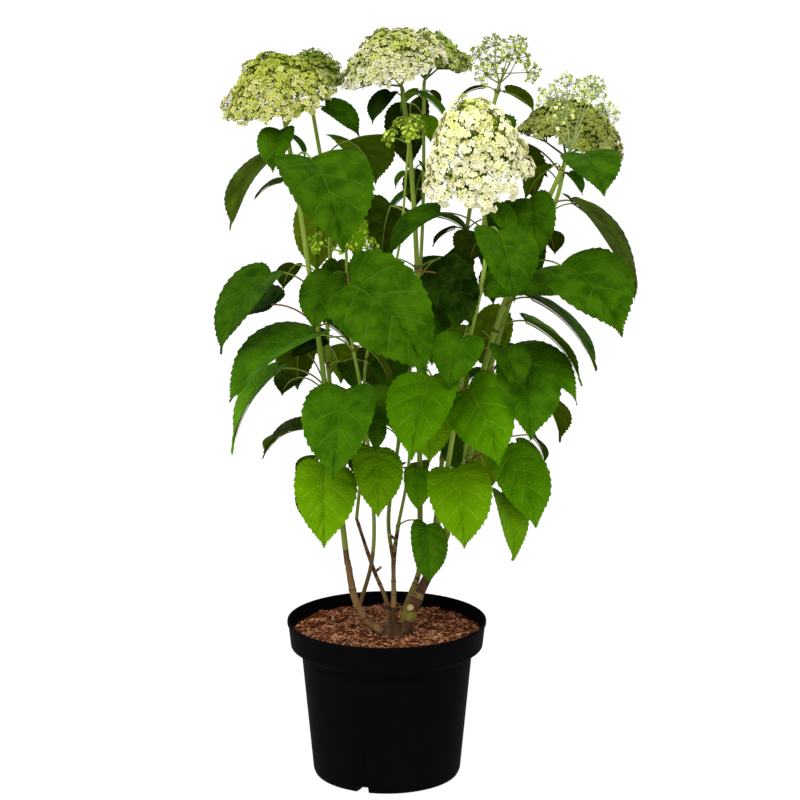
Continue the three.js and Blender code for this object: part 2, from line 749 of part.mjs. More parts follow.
function isFree({ at, room }, owner, node) {
  const [cx, cy, cz] = [at.x, at.y, at.z].map(cellOf);
  for (let x = cx - 1; x <= cx + 1; x++)
    for (let y = cy - 1; y <= cy + 1; y++)
      for (let z = cz - 1; z <= cz + 1; z++)
        for (const other of cells.get([x, y, z].join()) || []) {
          if (other.at.distanceTo(at) >= room + other.room) continue;
          if (other.owner !== owner || other.at.distanceTo(node) >= ROOM.ownStem) return false;
        }
  return true;
}

// The first clear way to grow a leaf, or none.
function settleLeaf(owner, node, size, seed) {
  for (const [nudge, sag] of TRIES) {
    const leaf = growLeaf(node, size, seed, nudge, sag);
    const points = leafPoints(leaf);
    if (!points.every((point) => isFree(point, owner, node))) continue;
    for (const { at, room } of points) take(owner, at, room);
    return leaf;
  }
  return null;
}

// Every shoot's leaves. Those with their own hang settle first, then the largest blades, and the
// small ones fit in around them.
function growShoots() {
  Object.entries(CANES).forEach(([name, cane]) => takeLimbRoom(name, cane));
  Object.entries(SHOOTS).forEach(([name, shoot]) => takeLimbRoom(name, shoot));
  Object.entries(SHOOTS).forEach(([name, shoot]) => shoot.head && takeHeadRoom(name + " head", shoot));
  const waiting = [];
  Object.entries(SHOOTS).forEach(([name, shoot], index) =>
    shoot.leaves.forEach(([height, ...pair], level) => {
      const node = pathPoint(shoot.path, pathAtHeight(shoot.path, height));
      pair.forEach((size, side) => {
        const seed = 1000 * (index + 1) + 10 * level + side;
        waiting.push({ name, node, size, seed });
      });
    }),
  );
  const own = ({ size }) => (size.length > 3 ? 1 : 0);
  waiting.sort((a, b) => own(b) - own(a) || b.size[1] - a.size[1] || a.seed - b.seed);
  const grown = Object.fromEntries(Object.keys(SHOOTS).map((name) => [name, []]));
  for (const { name, node, size, seed } of waiting) {
    const leaf = settleLeaf(name, node, size, seed);
    if (leaf) grown[name].push(leaf);
  }
  return grown;
}

const bark = (color) => new THREE.MeshStandardMaterial({ color, roughness: 0.85, metalness: 0 });
const MATERIALS = {
  pot: new THREE.MeshStandardMaterial({ color: 0x0b0b0c, roughness: 0.55, metalness: 0 }),
  soil: new THREE.MeshStandardMaterial({ color: 0x6b4130, roughness: 0.95, metalness: 0 }),
  bark: bark(0x7a5a3c),
  foliage: new THREE.MeshStandardMaterial({ color: 0x3f7a16, roughness: 0.6, metalness: 0 }),
  blossom: new THREE.MeshStandardMaterial({ color: 0xe4ebb4, roughness: 0.7, metalness: 0 }),
  bud: new THREE.MeshStandardMaterial({ color: 0xa3bd55, roughness: 0.7, metalness: 0 }),
};

const shrub = new THREE.Group();
shrub.add(meshOf("pot", pot(), MATERIALS.pot));
shrub.add(meshOf("soil", soil(), MATERIALS.soil));
shrub.add(meshOf("root_crown", rootCrown(), MATERIALS.bark));

// The canes are cut flat at the soil and stand clear of the knob they spring from.
const ground = solid(new THREE.BoxGeometry(200, 200, 40).translate(0, 0, SOIL.middle + GAP - 20));
const cutAway = rootCrown(GAP).add(ground);
for (const [name, cane] of Object.entries(CANES))
  shrub.add(meshOf(name, stemSolid(cane, CANE_SIDES, CANE_STEPS).subtract(cutAway), MATERIALS.bark));

const grown = growShoots();
Object.entries(SHOOTS).forEach(([name, shoot], index) => {
  const pieces = [stemSolid(shoot, SHOOT_SIDES, SHOOT_STEPS)];
  for (const leaf of grown[name]) pieces.push(leafSolid(leaf.blade), stalkSolid(leaf));
  const cane = stemSolid(CANES[shoot.cane], CANE_SIDES, CANE_STEPS, GAP);
  shrub.add(meshOf("foliage_" + name, join(pieces).subtract(cane), MATERIALS.foliage));
  if (shoot.head) {
    const material = shoot.head.dense ? MATERIALS.blossom : MATERIALS.bud;
    shrub.add(meshOf("flowers_" + name, headSolid(shoot, 500 + index), material));
  }
});

export default shrub;
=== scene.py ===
"""Looks of a smooth hydrangea in flower in a round black nursery pot.

Lengths in the tables are millimetres, as in the solids; meshes are made in metres. The canes,
shoots, leaves and heads grow by the same rule as the solids and are carried finer here.
"""

import math

import bpy
import numpy as np
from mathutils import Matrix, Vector, noise


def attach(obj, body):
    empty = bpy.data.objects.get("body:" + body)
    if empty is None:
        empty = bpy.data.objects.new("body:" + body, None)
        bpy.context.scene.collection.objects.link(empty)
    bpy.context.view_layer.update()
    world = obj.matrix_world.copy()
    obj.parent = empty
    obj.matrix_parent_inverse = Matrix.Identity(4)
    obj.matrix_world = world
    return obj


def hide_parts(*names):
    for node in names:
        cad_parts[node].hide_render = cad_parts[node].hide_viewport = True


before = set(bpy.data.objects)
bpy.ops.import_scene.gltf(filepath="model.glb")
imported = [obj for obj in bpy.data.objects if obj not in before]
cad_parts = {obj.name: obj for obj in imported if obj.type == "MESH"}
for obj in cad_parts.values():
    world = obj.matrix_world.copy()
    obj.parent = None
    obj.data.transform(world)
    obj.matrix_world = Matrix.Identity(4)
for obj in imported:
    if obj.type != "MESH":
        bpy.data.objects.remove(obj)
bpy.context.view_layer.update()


class Record(dict):
    """Named values that are read as attributes."""

    __getattr__ = dict.__getitem__


# -------------------- dimensions shared with the solids

MM = 0.001
GAP = 0.3
POT = Record(
    height=182, rim=113, collar=30, chamfer=7, body=97, foot=84, wall=2.2, floor=3, round=7
)
DRAIN = Record(count=3, first=340, width=16, height=9, depth=27)
SOIL = Record(edge=167, middle=172, bumps=2.2)
CROWN = Record(x=9, y=-25, radius=19, height=13)
LEAF_ROWS = [(-0.05, 0.27), (0.13, 0.47), (0.45, 0.47), (0.78, 0.27)]
LEAF = Record(
    width=0.78, width_spread=0.05, fold=12, fold_spread=5, pitch=(24, 74),
    free=(9, 13, 12),  # spread of an unmeasured leaf's hang, roll and swing
)
STALK = Record(share=0.56, bract_share=0.25, bract=56, radius=1.2, pitch=(-48, 8), pitch_spread=7)
ROOM = Record(blade=3.1, stalk=2.4, stem=2.2, rows=17, columns=4, own_stem=14, near=16)
HEAD = Record(fork_share=0.45, rays=5, neck=9, lumps=3)


def limb_of(foot, tip, *path):
    """A tapering limb: its radii at foot and tip, and the points of its middle line."""
    return Record(radius=(foot, tip), path=path)


CANES = dict(
    cane_left=limb_of(4.8, 3.7, (-4, -27, 174), (-22, -27, 187), (-36, -26, 215), (-44, -27, 258)),
    cane_inner=limb_of(2.9, 1.9, (1, -16, 174), (0, -13, 205), (-16, -6, 245), (-34, -1, 300)),
    cane_centre=limb_of(3.4, 2.2, (8, -26, 176), (8, -20, 215), (8, -12, 255), (13, -6, 292)),
    cane_upright=limb_of(3.6, 3.1, (17, -17, 174), (24, -8, 205), (35, -3, 232), (38, 0, 252)),
    cane_right=limb_of(6.2, 4.6, (20, -31, 174), (36, -22, 215), (54, -10, 250), (68, -1, 284)),
)


def shoot_of(radius, path, *leaves, **head):
    """A leafy shoot: a limb, its rows of leaves and its flower head, if it bears one.

    A row is a height, then each leaf's bearing and length. A leaf that was measured goes on with
    its stalk's length and its hang, roll and swing.
    """
    made = Record(limb_of(*radius, *path), leaves=leaves)
    return Record(made, head=Record(head)) if head else made


SHOOTS = dict(
    front_left=shoot_of(
        (2.4, 1.7),
        [(-31, -25, 203), (-16, -32, 262), (-15, -37, 330), (-26, -46, 446), (-41, -54, 534),
         (-43, -60, 608)],
        (588, [44, 82, 28, -1, 4, -4], [320, 66, 24]), (556, [2, 145, 152, -13, 55, 45], [200, 50]),
        (503, [299, 120, 52, -18, 1, -3], [110, 56]),
        (449, [344, 103, 64, 3, 2, 3], [359, 65, 20, -26, 19, 36]),
        (383, [13, 75, 30, 15, -17, -5], [190, 50]),
        width=72, rise=38, curl=0.8, lean=(-0.1, -0.35), clusters=6,
    ),
    right_front=shoot_of(
        (3.1, 2.3),
        [(50, -16, 242), (59, -31, 311), (73, -39, 402), (88, -50, 501), (108, -58, 610),
         (101, -50, 698)],
        (660, [30, 48]), (628, [9, 90, 73, -4, -8, 5], [192, 69, 8, -12, 10, 6]),
        (570, [83, 80, 8, -45, 23, 7], [300, 50]), (516, [350, 70, 40], [160, 60]),
        (452, [16, 97, 35, -3, 46, 13], [230, 66]), (364, [14, 92, 36, 5, 6, -3], [200, 60]),
        width=120, rise=86, curl=1.2, lean=(-0.17, -0.55),
    ),
    far_left=shoot_of(
        (3.3, 2.4),
        [(-44, -27, 254), (-59, -31, 386), (-80, -31, 555), (-96, -26, 666), (-111, -22, 755)],
        (734, [349, 55, 37, -4, 7, 0], [60, 28]),
        (702, [305, 92, 32, 5, 10, -2], [15, 137, 93, -13, 1, 4]),
        (676, [227, 37, 26, -15, -9, 34], [110, 50]), (566, [300, 105, 58, 1, -1, 4], [75, 60]),
        (524, [239, 94, 66, -19, -24, -8], [100, 56]),
        (458, [290, 107, 60, 8, 11, 4], [208, 68, 80, 9, -17, -25]), (404, [250, 62], [40, 40]),
        (356, [346, 96, 53, 2, -11, 13], [170, 70]),
        width=124, rise=62, curl=0.95, lean=(-0.2, -0.2),
    ),
    right=shoot_of(
        (3.9, 2.3),
        [(67, -2, 282), (91, -1, 401), (116, 0, 499), (141, -1, 574), (180, -9, 669),
         (199, -20, 714)],
        (698, [9, 98, 114, -26, 5, 5], [250, 50]),
        (650, [65, 127, 38, 4, -11, 1], [338, 69, 52, 14, 30, 34]),
        (576, [32, 129, 97, -24, 18, -1], [220, 60]), (540, [53, 106, 44, -5, -14, 14], [250, 56]),
        (514, [107, 98, 39, 0, 0, -11], [280, 50]), (456, [33, 93, 94, -2, -15, -28], [200, 60]),
        (366, [64, 89, 54, 10, 19, -9], [240, 56]), (312, [59, 76, 71, 22, -19, -24], [250, 50]),
        width=96, rise=78, curl=0.5, lean=(0.16, -0.05), clusters=8,
    ),
    low_centre=shoot_of(
        (1.9, 1.4),
        [(12, -7, 288), (22, -22, 345), (27, -30, 400), (31, -38, 458)],
        (454, [355, 80, 30], [23, 79, 15, 19, 12, 0]), (360, [26, 46, 22, 26, -18, -13], [210, 50]),
        (293, [40, 64, 52, 24, -26, -31], [230, 40]),
    ),
    centre=shoot_of(
        (3.1, 2.4),
        [(38, 0, 250), (37, 0, 375), (35, 0, 560), (27, 0, 700), (18, 0, 781)],
        (774, [307, 43, 20, -3, 1, 10], [67, 46, 17, -9, -7, 4]), (690, [150, 50, 30], [340, 34]),
        (634, [224, 76, 44, 16, 30, -26], [60, 44, 30]), (584, [100, 70, 44], [250, 66]),
        (520, [180, 70], [20, 54]), (454, [8, 104, 105, -5, 0, -26], [314, 75, 11, 40, 11, 19]),
        (356, [60, 84, 50], [220, 56]),
        width=114, rise=58, curl=0.85, lean=(-0.28, -0.1),
    ),
    far_right=shoot_of(
        (3.1, 2.3),
        [(58, -7, 258), (70, 13, 290), (84, 22, 330), (103, 28, 400), (123, 36, 488),
         (148, 44, 565), (188, 56, 648), (199, 64, 694)],
        (680, [224, 108, 90, -8, -48, 3], [40, 50]), (640, [100, 60], [280, 50]),
        (600, [150, 70], [330, 50]), (482, [53, 98, 24, -19, 1, 6], [240, 60]),
        (456, [129, 92, 59, -15, -1, 15], [300, 40]), (416, [125, 86, 77, 4, 19, 11], [290, 50]),
        (356, [111, 76, 85, 4, 31, 29], [86, 61, 64, 9, 22, 19]),
        width=122, rise=62, curl=0.85, lean=(0.28, 0.1),
    ),
    left_rear=shoot_of(
        (2.9, 2.1),
        [(-38, -24, 228), (-47, -13, 268), (-54, -2, 350), (-66, 22, 490), (-64, 42, 630),
         (-84, 56, 765)],
        (754, [68, 50, 17, -11, 27, 8], [280, 30]), (694, [141, 94, 55, -11, -1, 16], [320, 40]),
        (634, [219, 70, 21, 33, 27, -21], [20, 60]),
        (560, [172, 46, 44, 38, -44, -38], [14, 63, 66, 8, -55, -45]),
        (470, [230, 76, 50], [60, 60]), (386, [247, 71, 37, -19, -9, -8], [70, 56]),
        width=76, rise=44, curl=0.7, lean=(0.1, 0.1),
    ),
    right_centre=shoot_of(
        (2.9, 2.1),
        [(46, -14, 232), (55, 8, 290), (68, 26, 420), (78, 32, 540), (100, 32, 690),
         (123, 30, 780)],
        (776, [221, 32, 22, -23, 4, 43], [96, 39, 10, -13, -31, -3]), (694, [350, 52]),
        (622, [80, 70], [260, 56]), (546, [20, 50], [200, 60]),
        (490, [154, 95, 57, -15, -39, -2], [320, 54]), (430, [100, 60], [280, 56]),
        (364, [137, 79, 51, 10, -37, 10], [310, 50]),
        width=90, rise=50, curl=0.85, lean=(0.2, 0), clusters=8,
    ),
    centre_rear=shoot_of(
        (2.3, 1.9),
        [(8, -14, 250), (2, 4, 300), (12, 24, 372), (30, 44, 491), (40, 62, 620), (42, 90, 778)],
        (768, [100, 34], [280, 30]), (742, [205, 77, 40, 29, -22, -22], [20, 34]),
        (660, [110, 64], [290, 52]), (563, [148, 99, 58, 3, -22, 23], [320, 50]),
        (540, [67, 57, 23, 35, 23, -10], [220, 66]), (482, [120, 76], [300, 62]),
        (386, [250, 60], [80, 60]),
        width=92, rise=48, curl=0.7, lean=(0.25, 0.1),
    ),
    inner=shoot_of(
        (1.9, 1.3),
        [(-34, -1, 298), (-25, 8, 390), (-22, 10, 485), (12, -8, 600), (24, -30, 722)],
        (560, [49, 82, 79, -15, 41, -15], [230, 50]), (480, [130, 66], [300, 56]),
        (398, [20, 60], [200, 58]),
        width=44, rise=26, curl=0.8, lean=(0, -0.2), clusters=5,
    ),
)

# Small leaves that only the looks carry, from the same shoots: height on the shoot, then the leaf.
MORE = [
    ("right_front", 635, [257, 72, 57, -11, -13, 20]),
    ("right_front", 490, [45, 60, 64, -12, -7, -27]),
    ("far_right", 388, [324, 52, 43, 35, 33, 22]),
    ("front_left", 430, [9, 45, 22, 22, -10, 31]),
    ("right", 636, [240, 77, 16, 3, -42, 31]),
    ("left_rear", 562, [248, 37, 48, 6, 15, -27]),
    ("right_centre", 683, [133, 75, 30, -34, -36, -15]),
    ("left_rear", 286, [224, 38, 69, -1, 25, -31]),
    ("left_rear", 461, [117, 85, 39, -8, -38, 13]),
    ("inner", 495, [283, 45, 52, -22, -29, -3]),
    ("far_left", 449, [223, 49, 52, -15, 13, -15]),
    ("centre_rear", 679, [189, 48, 13, 19, 1, 15]),
    ("far_right", 668, [205, 45, 55, 10, -20, -11]),
]

# -------------------- repeatable numbers and paths

DEG = math.pi / 180
GOLDEN = 137.508
TURN = 6.28  # about a full turn, for what is turned at random
UP = np.array([0.0, 0.0, 1.0])


def mix(a, b, t):
    return a + (b - a) * t


def around(angles, across, over):
    """Directions at angles from across towards over."""
    return np.cos(angles)[..., None] * across + np.sin(angles)[..., None] * over


def straight(start, end, count):
    return mix(start, end, np.linspace(0, 1, count)[:, None])


def nearest(points, others):
    """The number of the nearest of the others to each point, and how far off it is."""
    apart = np.linalg.norm(points[:, None] - others[None], axis=2)
    return np.argmin(apart, axis=1), apart.min(axis=1)


def seeded(seed):
    """A repeatable stream of numbers from 0 to 1, the same as the solids use."""
    state = (seed * 2654435761) % 4294967296

    def draw():
        nonlocal state
        state = (state * 1664525 + 1013904223) % 4294967296
        return state / 4294967296

    draw()
    draw()
    return draw


def either(random, spread):
    return (random() * 2 - 1) * spread


def unit(vectors):
    vectors = np.asarray(vectors, float)
    return vectors / np.maximum(np.linalg.norm(vectors, axis=-1, keepdims=True), 1e-9)


def path_points(points, ts):
    """Points on the smooth line through the given points, for shares ts of its spans."""
    points = np.asarray(points, float)
    spans = len(points) - 1
    padded = np.vstack([2 * points[0] - points[1], points, 2 * points[-1] - points[-2]])
    ts = np.atleast_1d(np.asarray(ts, float)) * spans
    i = np.clip(np.floor(ts).astype(int), 0, spans - 1)
    s = (ts - i)[:, None]
    a, b, c, d = (padded[i + k] for k in range(4))
    return 0.5 * (
        2 * b + (c - a) * s + (2 * a - 5 * b + 4 * c - d) * s**2 + (3 * b - a - 3 * c + d) * s**3
    )


def path_at_height(points, height):
    """The share of a path at which it reaches a height."""
    low, high = 0.0, 1.0
    for _ in range(40):
        middle = (low + high) / 2
        if path_points(points, middle)[0, 2] < height:
            low = middle
        else:
            high = middle
    return low


# -------------------- the leaf's growth rule


def arc_frame(arc, distances):
    """Points, side and normals along an arc whose pitch changes evenly over its length."""
    low, high = arc.pitches[0] * DEG, arc.pitches[1] * DEG
    bend = (high - low) / arc.length
    distances = np.asarray(distances, float)
    pitch = low + bend * distances
    if abs(bend) < 1e-6:
        out, down = distances * math.cos(low), distances * math.sin(low)
    else:
        out, down = (np.sin(pitch) - math.sin(low)) / bend, (math.cos(low) - np.cos(pitch)) / bend
    bearing = arc.bearing * DEG
    outward = np.array([math.sin(bearing), -math.cos(bearing), 0.0])
    side = np.array([math.cos(bearing), math.sin(bearing), 0.0])
    points = arc.start + out[..., None] * outward - down[..., None] * UP
    normals = np.sin(pitch)[..., None] * outward + np.cos(pitch)[..., None] * UP
    return points, side, normals


def grow_leaf(node, size, seed, nudge, sag):
    """A leaf on its stalk, with its bearing nudged and its blade sagging by some degrees."""
    bearing, length, reach, *seen = (*size, 0)[: max(3, len(size))]
    random = seeded(seed)
    share = STALK.bract_share if length <= STALK.bract else STALK.share
    rise = either(random, STALK.pitch_spread)
    stalk = Record(
        start=node,
        bearing=bearing + nudge,
        pitches=(STALK.pitch[0] + rise, STALK.pitch[1] + rise),
        length=reach or length * share,
    )
    free = [either(random, spread) for spread in LEAF.free]
    hang, roll, swing = seen or free
    blade = Record(
        start=arc_frame(stalk, stalk.length)[0],
        bearing=bearing + nudge + swing,
        pitches=(LEAF.pitch[0] + hang + sag, LEAF.pitch[1] + hang + sag),
        length=length,
        width=length * (LEAF.width + either(random, LEAF.width_spread)),
        roll=roll,
        fold=LEAF.fold + either(random, LEAF.fold_spread),
    )
    return Record(stalk=stalk, blade=blade, seed=seed, node=node)


def blade_points(blade, along, across, lift=0.0):
    """Points of the blade, by shares of its length and width and a lift off its upper side."""
    point, side, normal = arc_frame(blade, np.asarray(along) * blade.length)
    turn, fold = blade.roll * DEG, blade.fold * DEG
    rolled_side = side * math.cos(turn) + normal * math.sin(turn)
    rolled_normal = normal * math.cos(turn) - side * math.sin(turn)
    reach = (np.asarray(across) * blade.width)[..., None]
    rise = np.abs(reach) * math.sin(fold) + np.asarray(lift)[..., None]
    return point + rolled_side * reach * math.cos(fold) + rolled_normal * rise


OUTLINE = [(0, 0, 0)] + [(x, y, root) for (x, y), root in zip(LEAF_ROWS, (0.06, 0.06, 0.46, 0.46))]
OUTLINE += [(1, 0, 1)]


def leaf_room(leaf):
    """The points that stand for a leaf when it is tested for room, and the room of each."""
    stalk = leaf.stalk
    on_stalk = arc_frame(stalk, stalk.length * np.arange(2, 9) / 8)[0]
    row = path_points(OUTLINE, np.arange(ROOM.rows) / (ROOM.rows - 1))
    v = np.arange(-ROOM.columns, ROOM.columns + 1) / ROOM.columns
    along = mix(row[:, None, 2], row[:, None, 0], np.abs(v)[None])
    on_blade = blade_points(leaf.blade, along, row[:, None, 1] * v[None]).reshape(-1, 3)
    room = np.r_[np.full(len(on_stalk), ROOM.stalk), np.full(len(on_blade), ROOM.blade)]
    return np.vstack([on_stalk, on_blade]), room


def head_of(shoot):
    axis = unit([*shoot.head.lean, 1.0])
    across = unit(np.array([1.0, 0, 0]) - axis * axis[0])
    fork = path_points(shoot.path, 1.0)[0] + axis * HEAD.neck
    return Record(shoot.head, axis=axis, across=across, over=np.cross(axis, across), fork=fork)


def dome_points(head, out, bearing):
    out, bearing = np.broadcast_arrays(np.asarray(out, float), np.asarray(bearing, float) * DEG)
    ring = around(bearing, head.across, head.over) * (out * head.width / 2)[..., None]
    rise = head.rise * (1 - head.curl * out * out)
    return head.fork + ring + rise[..., None] * head.axis


def spread(head, count):
    """Points spread evenly over the head's dome."""
    i = np.arange(count)
    return dome_points(head, np.sqrt((i + 0.5) / count), i * GOLDEN)


# The room that is taken, as arrays that grow: points, their room and the number of their owner.
taken = dict(at=np.zeros((0, 3)), room=np.zeros(0), owner=np.zeros(0, int))
owners = {}


def take(owner, at, room):
    number = owners.setdefault(owner, len(owners))
    taken["at"] = np.vstack([taken["at"], at])
    taken["room"] = np.r_[taken["room"], np.broadcast_to(room, len(at))]
    taken["owner"] = np.r_[taken["owner"], np.full(len(at), number)]


def take_limb(owner, limb):
    ts = np.linspace(0, 1, (len(limb.path) - 1) * 12 + 1)
    take(owner, path_points(limb.path, ts), mix(*limb.radius, ts) + ROOM.stem)


def take_head(owner, shoot):
    head = head_of(shoot)
    take(owner, dome_points(head, 1.0, np.arange(0, 360, 10)), 7)
    take(owner, spread(head, 90), 7)
    take(owner, mix(head.fork, spread(head, 60), 0.86), 6)
    take(owner, mix(head.fork, spread(head, 24), 0.55), 6)


def is_free(points, room, owner, node):
    """Whether nothing stands too near, apart from the owner's own stem around the node."""
    low, high = points.min(0) - ROOM.near, points.max(0) + ROOM.near
    near = np.all((taken["at"] > low) & (taken["at"] < high), axis=1)
    other, wide = taken["at"][near], taken["room"][near]
    if not len(other):
        return True
    own = (taken["owner"][near] == owners[owner]) & (
        np.linalg.norm(other - node, axis=1) < ROOM.own_stem
    )
    other, wide = other[~own], wide[~own]
    apart = np.linalg.norm(points[:, None] - other[None], axis=2)
    return bool(np.all(apart >= room[:, None] + wide[None]))


MORE_SEEDS = 20000
MORE_ROOM = 0.8  # share of the usual room that a leaf of MORE needs
TRIES = [
    (way * turn, sag)
    for turn in (0, 4, 9, 15, 24, 36, 52)
    for sag in (0, 6, -6, 12, -12)
    for way in ((1, -1) if turn else (1,))
]


def grow_first_free(grown, name, height, size, seed, squeeze=1.0):
    """Grows a leaf on a shoot at the first of its tries that has room."""
    path = SHOOTS[name].path
    node = path_points(path, path_at_height(path, height))[0]
    for nudge, sag in TRIES:
        leaf = grow_leaf(node, size, seed, nudge, sag)
        points, room = leaf_room(leaf)
        if is_free(points, room * squeeze, name, node):
            take(name, points, room * squeeze)
            grown[name].append(leaf)
            return


def grow_shoots():
    """The leaves of each shoot: measured ones first, then the longest, then the small ones."""
    for name, limb in [*CANES.items(), *SHOOTS.items()]:
        take_limb(name, limb)
    for name, shoot in SHOOTS.items():
        if "head" in shoot:
            take_head(name + " head", shoot)
    waiting = []
    for index, (name, shoot) in enumerate(SHOOTS.items()):
        for level, (height, *pair) in enumerate(shoot.leaves):
            for side, size in enumerate(pair):
                seed = 1000 * (index + 1) + 10 * level + side
                waiting.append((len(size) <= 3, -size[1], seed, name, height, size))
    grown = {name: [] for name in SHOOTS}
    for _, _, seed, name, height, size in sorted(waiting):
        grow_first_free(grown, name, height, size, seed)
    for number, (name, height, size) in enumerate(MORE):
        grow_first_free(grown, name, height, size, MORE_SEEDS + number, MORE_ROOM)
    return grown


# -------------------- mesh piles


class Pile:
    """Gathers points and faces with their materials, and makes one mesh of them."""

    def __init__(self):
        self.points, self.sizes, self.corners, self.tones, self.total = [], [], [], [], 0

    def add_faces(self, faces, tone, first):
        """Faces between points already there, whose numbers count from first."""
        faces = np.asarray(faces, int)
        self.corners.append((faces + first).ravel())
        self.sizes.append(np.full(len(faces), faces.shape[1]))
        self.tones.append(np.broadcast_to(tone, len(faces)))

    def add(self, points, faces, tone):
        self.add_faces(faces, tone, self.total)
        self.points.append(np.asarray(points, float).reshape(-1, 3))
        self.total += len(self.points[-1])

    def build(self, name, materials, slot, nodes, smooth=True):
        points = np.vstack(self.points) * MM
        corners = np.concatenate(self.corners).astype(np.int32)
        sizes = np.concatenate(self.sizes)
        starts = np.r_[0, np.cumsum(sizes)[:-1]].astype(np.int32)
        tones = np.concatenate(self.tones).astype(np.int32)
        mesh = bpy.data.meshes.new(name)
        mesh.vertices.add(len(points))
        mesh.vertices.foreach_set("co", points.astype(np.float32).ravel())
        mesh.loops.add(len(corners))
        mesh.loops.foreach_set("vertex_index", corners)
        mesh.polygons.add(len(sizes))
        mesh.polygons.foreach_set("loop_start", starts)
        mesh.polygons.foreach_set("material_index", tones)
        mesh.polygons.foreach_set("use_smooth", np.full(len(sizes), smooth))
        for material in materials:
            mesh.materials.append(material)
        mesh.update(calc_edges=True)
        mesh.validate()
        piece = bpy.data.objects.new(name, mesh)
        bpy.context.scene.collection.objects.link(piece)
        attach(piece, "root")
        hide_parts(*nodes)


def grid_faces(rows, columns, wrap=False):
    """Faces of a grid of points whose index is row * columns + column."""
    last = columns if wrap else columns - 1
    r, c = np.meshgrid(np.arange(rows - 1), np.arange(last), indexing="ij")
    a = r * columns + c
    b = r * columns + (c + 1) % columns
    return np.stack([a, b, b + columns, a + columns], -1).reshape(-1, 4)


def tube(pile, line, radii, sides, tone, relief=None):
    """A round limb along a line of points, with one tone or one per row.

    relief(t, angle) is added to its radius.
    """
    along = unit(np.gradient(line, axis=0))
    lean = unit(line[-1] - line[0])
    reference = np.array([1.0, 0, 0]) if abs(lean[0]) < 0.8 else np.array([0, 1.0, 0])
    across = unit(reference - along * (along @ reference)[:, None])
    over = np.cross(across, along)
    rows, angles = len(line), np.arange(sides) * 2 * math.pi / sides
    radii = np.broadcast_to(radii, rows)[:, None] + np.zeros(sides)
    if relief is not None:
        radii = radii + relief(np.linspace(0, 1, rows)[:, None], angles[None])
    ring = around(angles, across[:, None], over[:, None])
    points = (line[:, None] + ring * radii[..., None]).reshape(-1, 3)
    start_cap = line[0] - along[0] * radii[0, 0] * 0.3
    end_cap = line[-1] + along[-1] * radii[-1, 0] * 0.5
    tones = np.broadcast_to(tone, rows - 1) if np.ndim(tone) == 0 else tone[: rows - 1]
    first, corners = pile.total, rows * sides
    faces = grid_faces(rows, sides, wrap=True)[:, ::-1]
    pile.add(np.vstack([points, start_cap, end_cap]), faces, np.repeat(tones, sides))
    here = np.arange(sides)
    after, row = (here + 1) % sides, corners - sides
    starting = np.stack([np.full(sides, corners), here, after], -1)
    ending = np.stack([np.full(sides, corners + 1), after + row, here + row], -1)
    pile.add_faces(starting, tones[0], first)
    pile.add_faces(ending, tones[-1], first)


# -------------------- materials


NET_DEPTH = 0.0024  # of the net of veinlets on a leaf, in metres
ROUGH_SPREAD = 0.08  # how far the mottling moves a surface's roughness


def linear(color):
    """A colour of 0 to 255 per channel as the linear colour with alpha that sockets take."""
    shares = [value / 255 for value in color]
    return [*(s / 12.92 if s <= 0.04045 else ((s + 0.055) / 1.055) ** 2.4 for s in shares), 1]


def finish(
    name, color, other, rough, scale, bump=0.0, fine=None, gloss=0.3, stretch=None, tips=None, net=0
):
    """A procedural surface: two colours mottled by noise, with its own roughness and relief.

    scale is the mottling's and fine the relief's noise scale, per metre; stretch squeezes both
    along an axis; tips is a third colour for the noise's peaks; net is the scale of a net of
    sunken veinlets.
    """
    made = bpy.data.materials.new(name)
    made.use_nodes = True
    made.diffuse_color = linear(color)
    nodes, links = made.node_tree.nodes, made.node_tree.links
    nodes.clear()

    def node(kind, inputs):
        """A new node whose inputs are linked to an output of another, or set to a value."""
        new = nodes.new("ShaderNode" + kind)
        for key, value in inputs.items():
            if isinstance(value, bpy.types.NodeSocket):
                links.new(value, new.inputs[key])
            else:
                new.inputs[key].default_value = value
        return new

    where = node("TexCoord", {}).outputs["Object"]
    if stretch:
        where = node("Mapping", {"Vector": where, "Scale": stretch}).outputs["Vector"]
    cloud = node("TexNoise", {"Vector": where, "Scale": scale, "Detail": 4}).outputs["Fac"]
    ramp = node("ValToRGB", {"Fac": cloud})
    colors = ramp.color_ramp.elements
    colors[0].position, colors[0].color = 0.34, linear(color)
    colors[1].position, colors[1].color = 0.66, linear(other)
    if tips:
        colors.new(0.74).color = linear(tips)
    dull, shiny = min(1.0, rough + ROUGH_SPREAD), max(0.05, rough - ROUGH_SPREAD)
    shade = node("MapRange", {"Value": cloud, "To Min": shiny, "To Max": dull})
    surface = {"Base Color": ramp.outputs["Color"], "Roughness": shade.outputs["Result"]}
    shader = node("BsdfPrincipled", {**surface, "Specular IOR Level": gloss})
    if bump:
        grain = node("TexNoise", {"Vector": where, "Scale": fine, "Detail": 3}).outputs["Fac"]
        bumps = {"Height": grain, "Strength": 0.5, "Distance": bump}
        relief = node("Bump", bumps).outputs["Normal"]
        if net:
            cells = node("TexVoronoi", {"Vector": where, "Scale": net})
            cells.feature = "DISTANCE_TO_EDGE"
            sunk = {"Height": cells.outputs["Distance"], "Strength": 0.9, "Distance": NET_DEPTH}
            relief = node("Bump", {**sunk, "Normal": relief}).outputs["Normal"]
        links.new(relief, shader.inputs["Normal"])
    node("OutputMaterial", {"Surface": shader.outputs["BSDF"]})
    return made


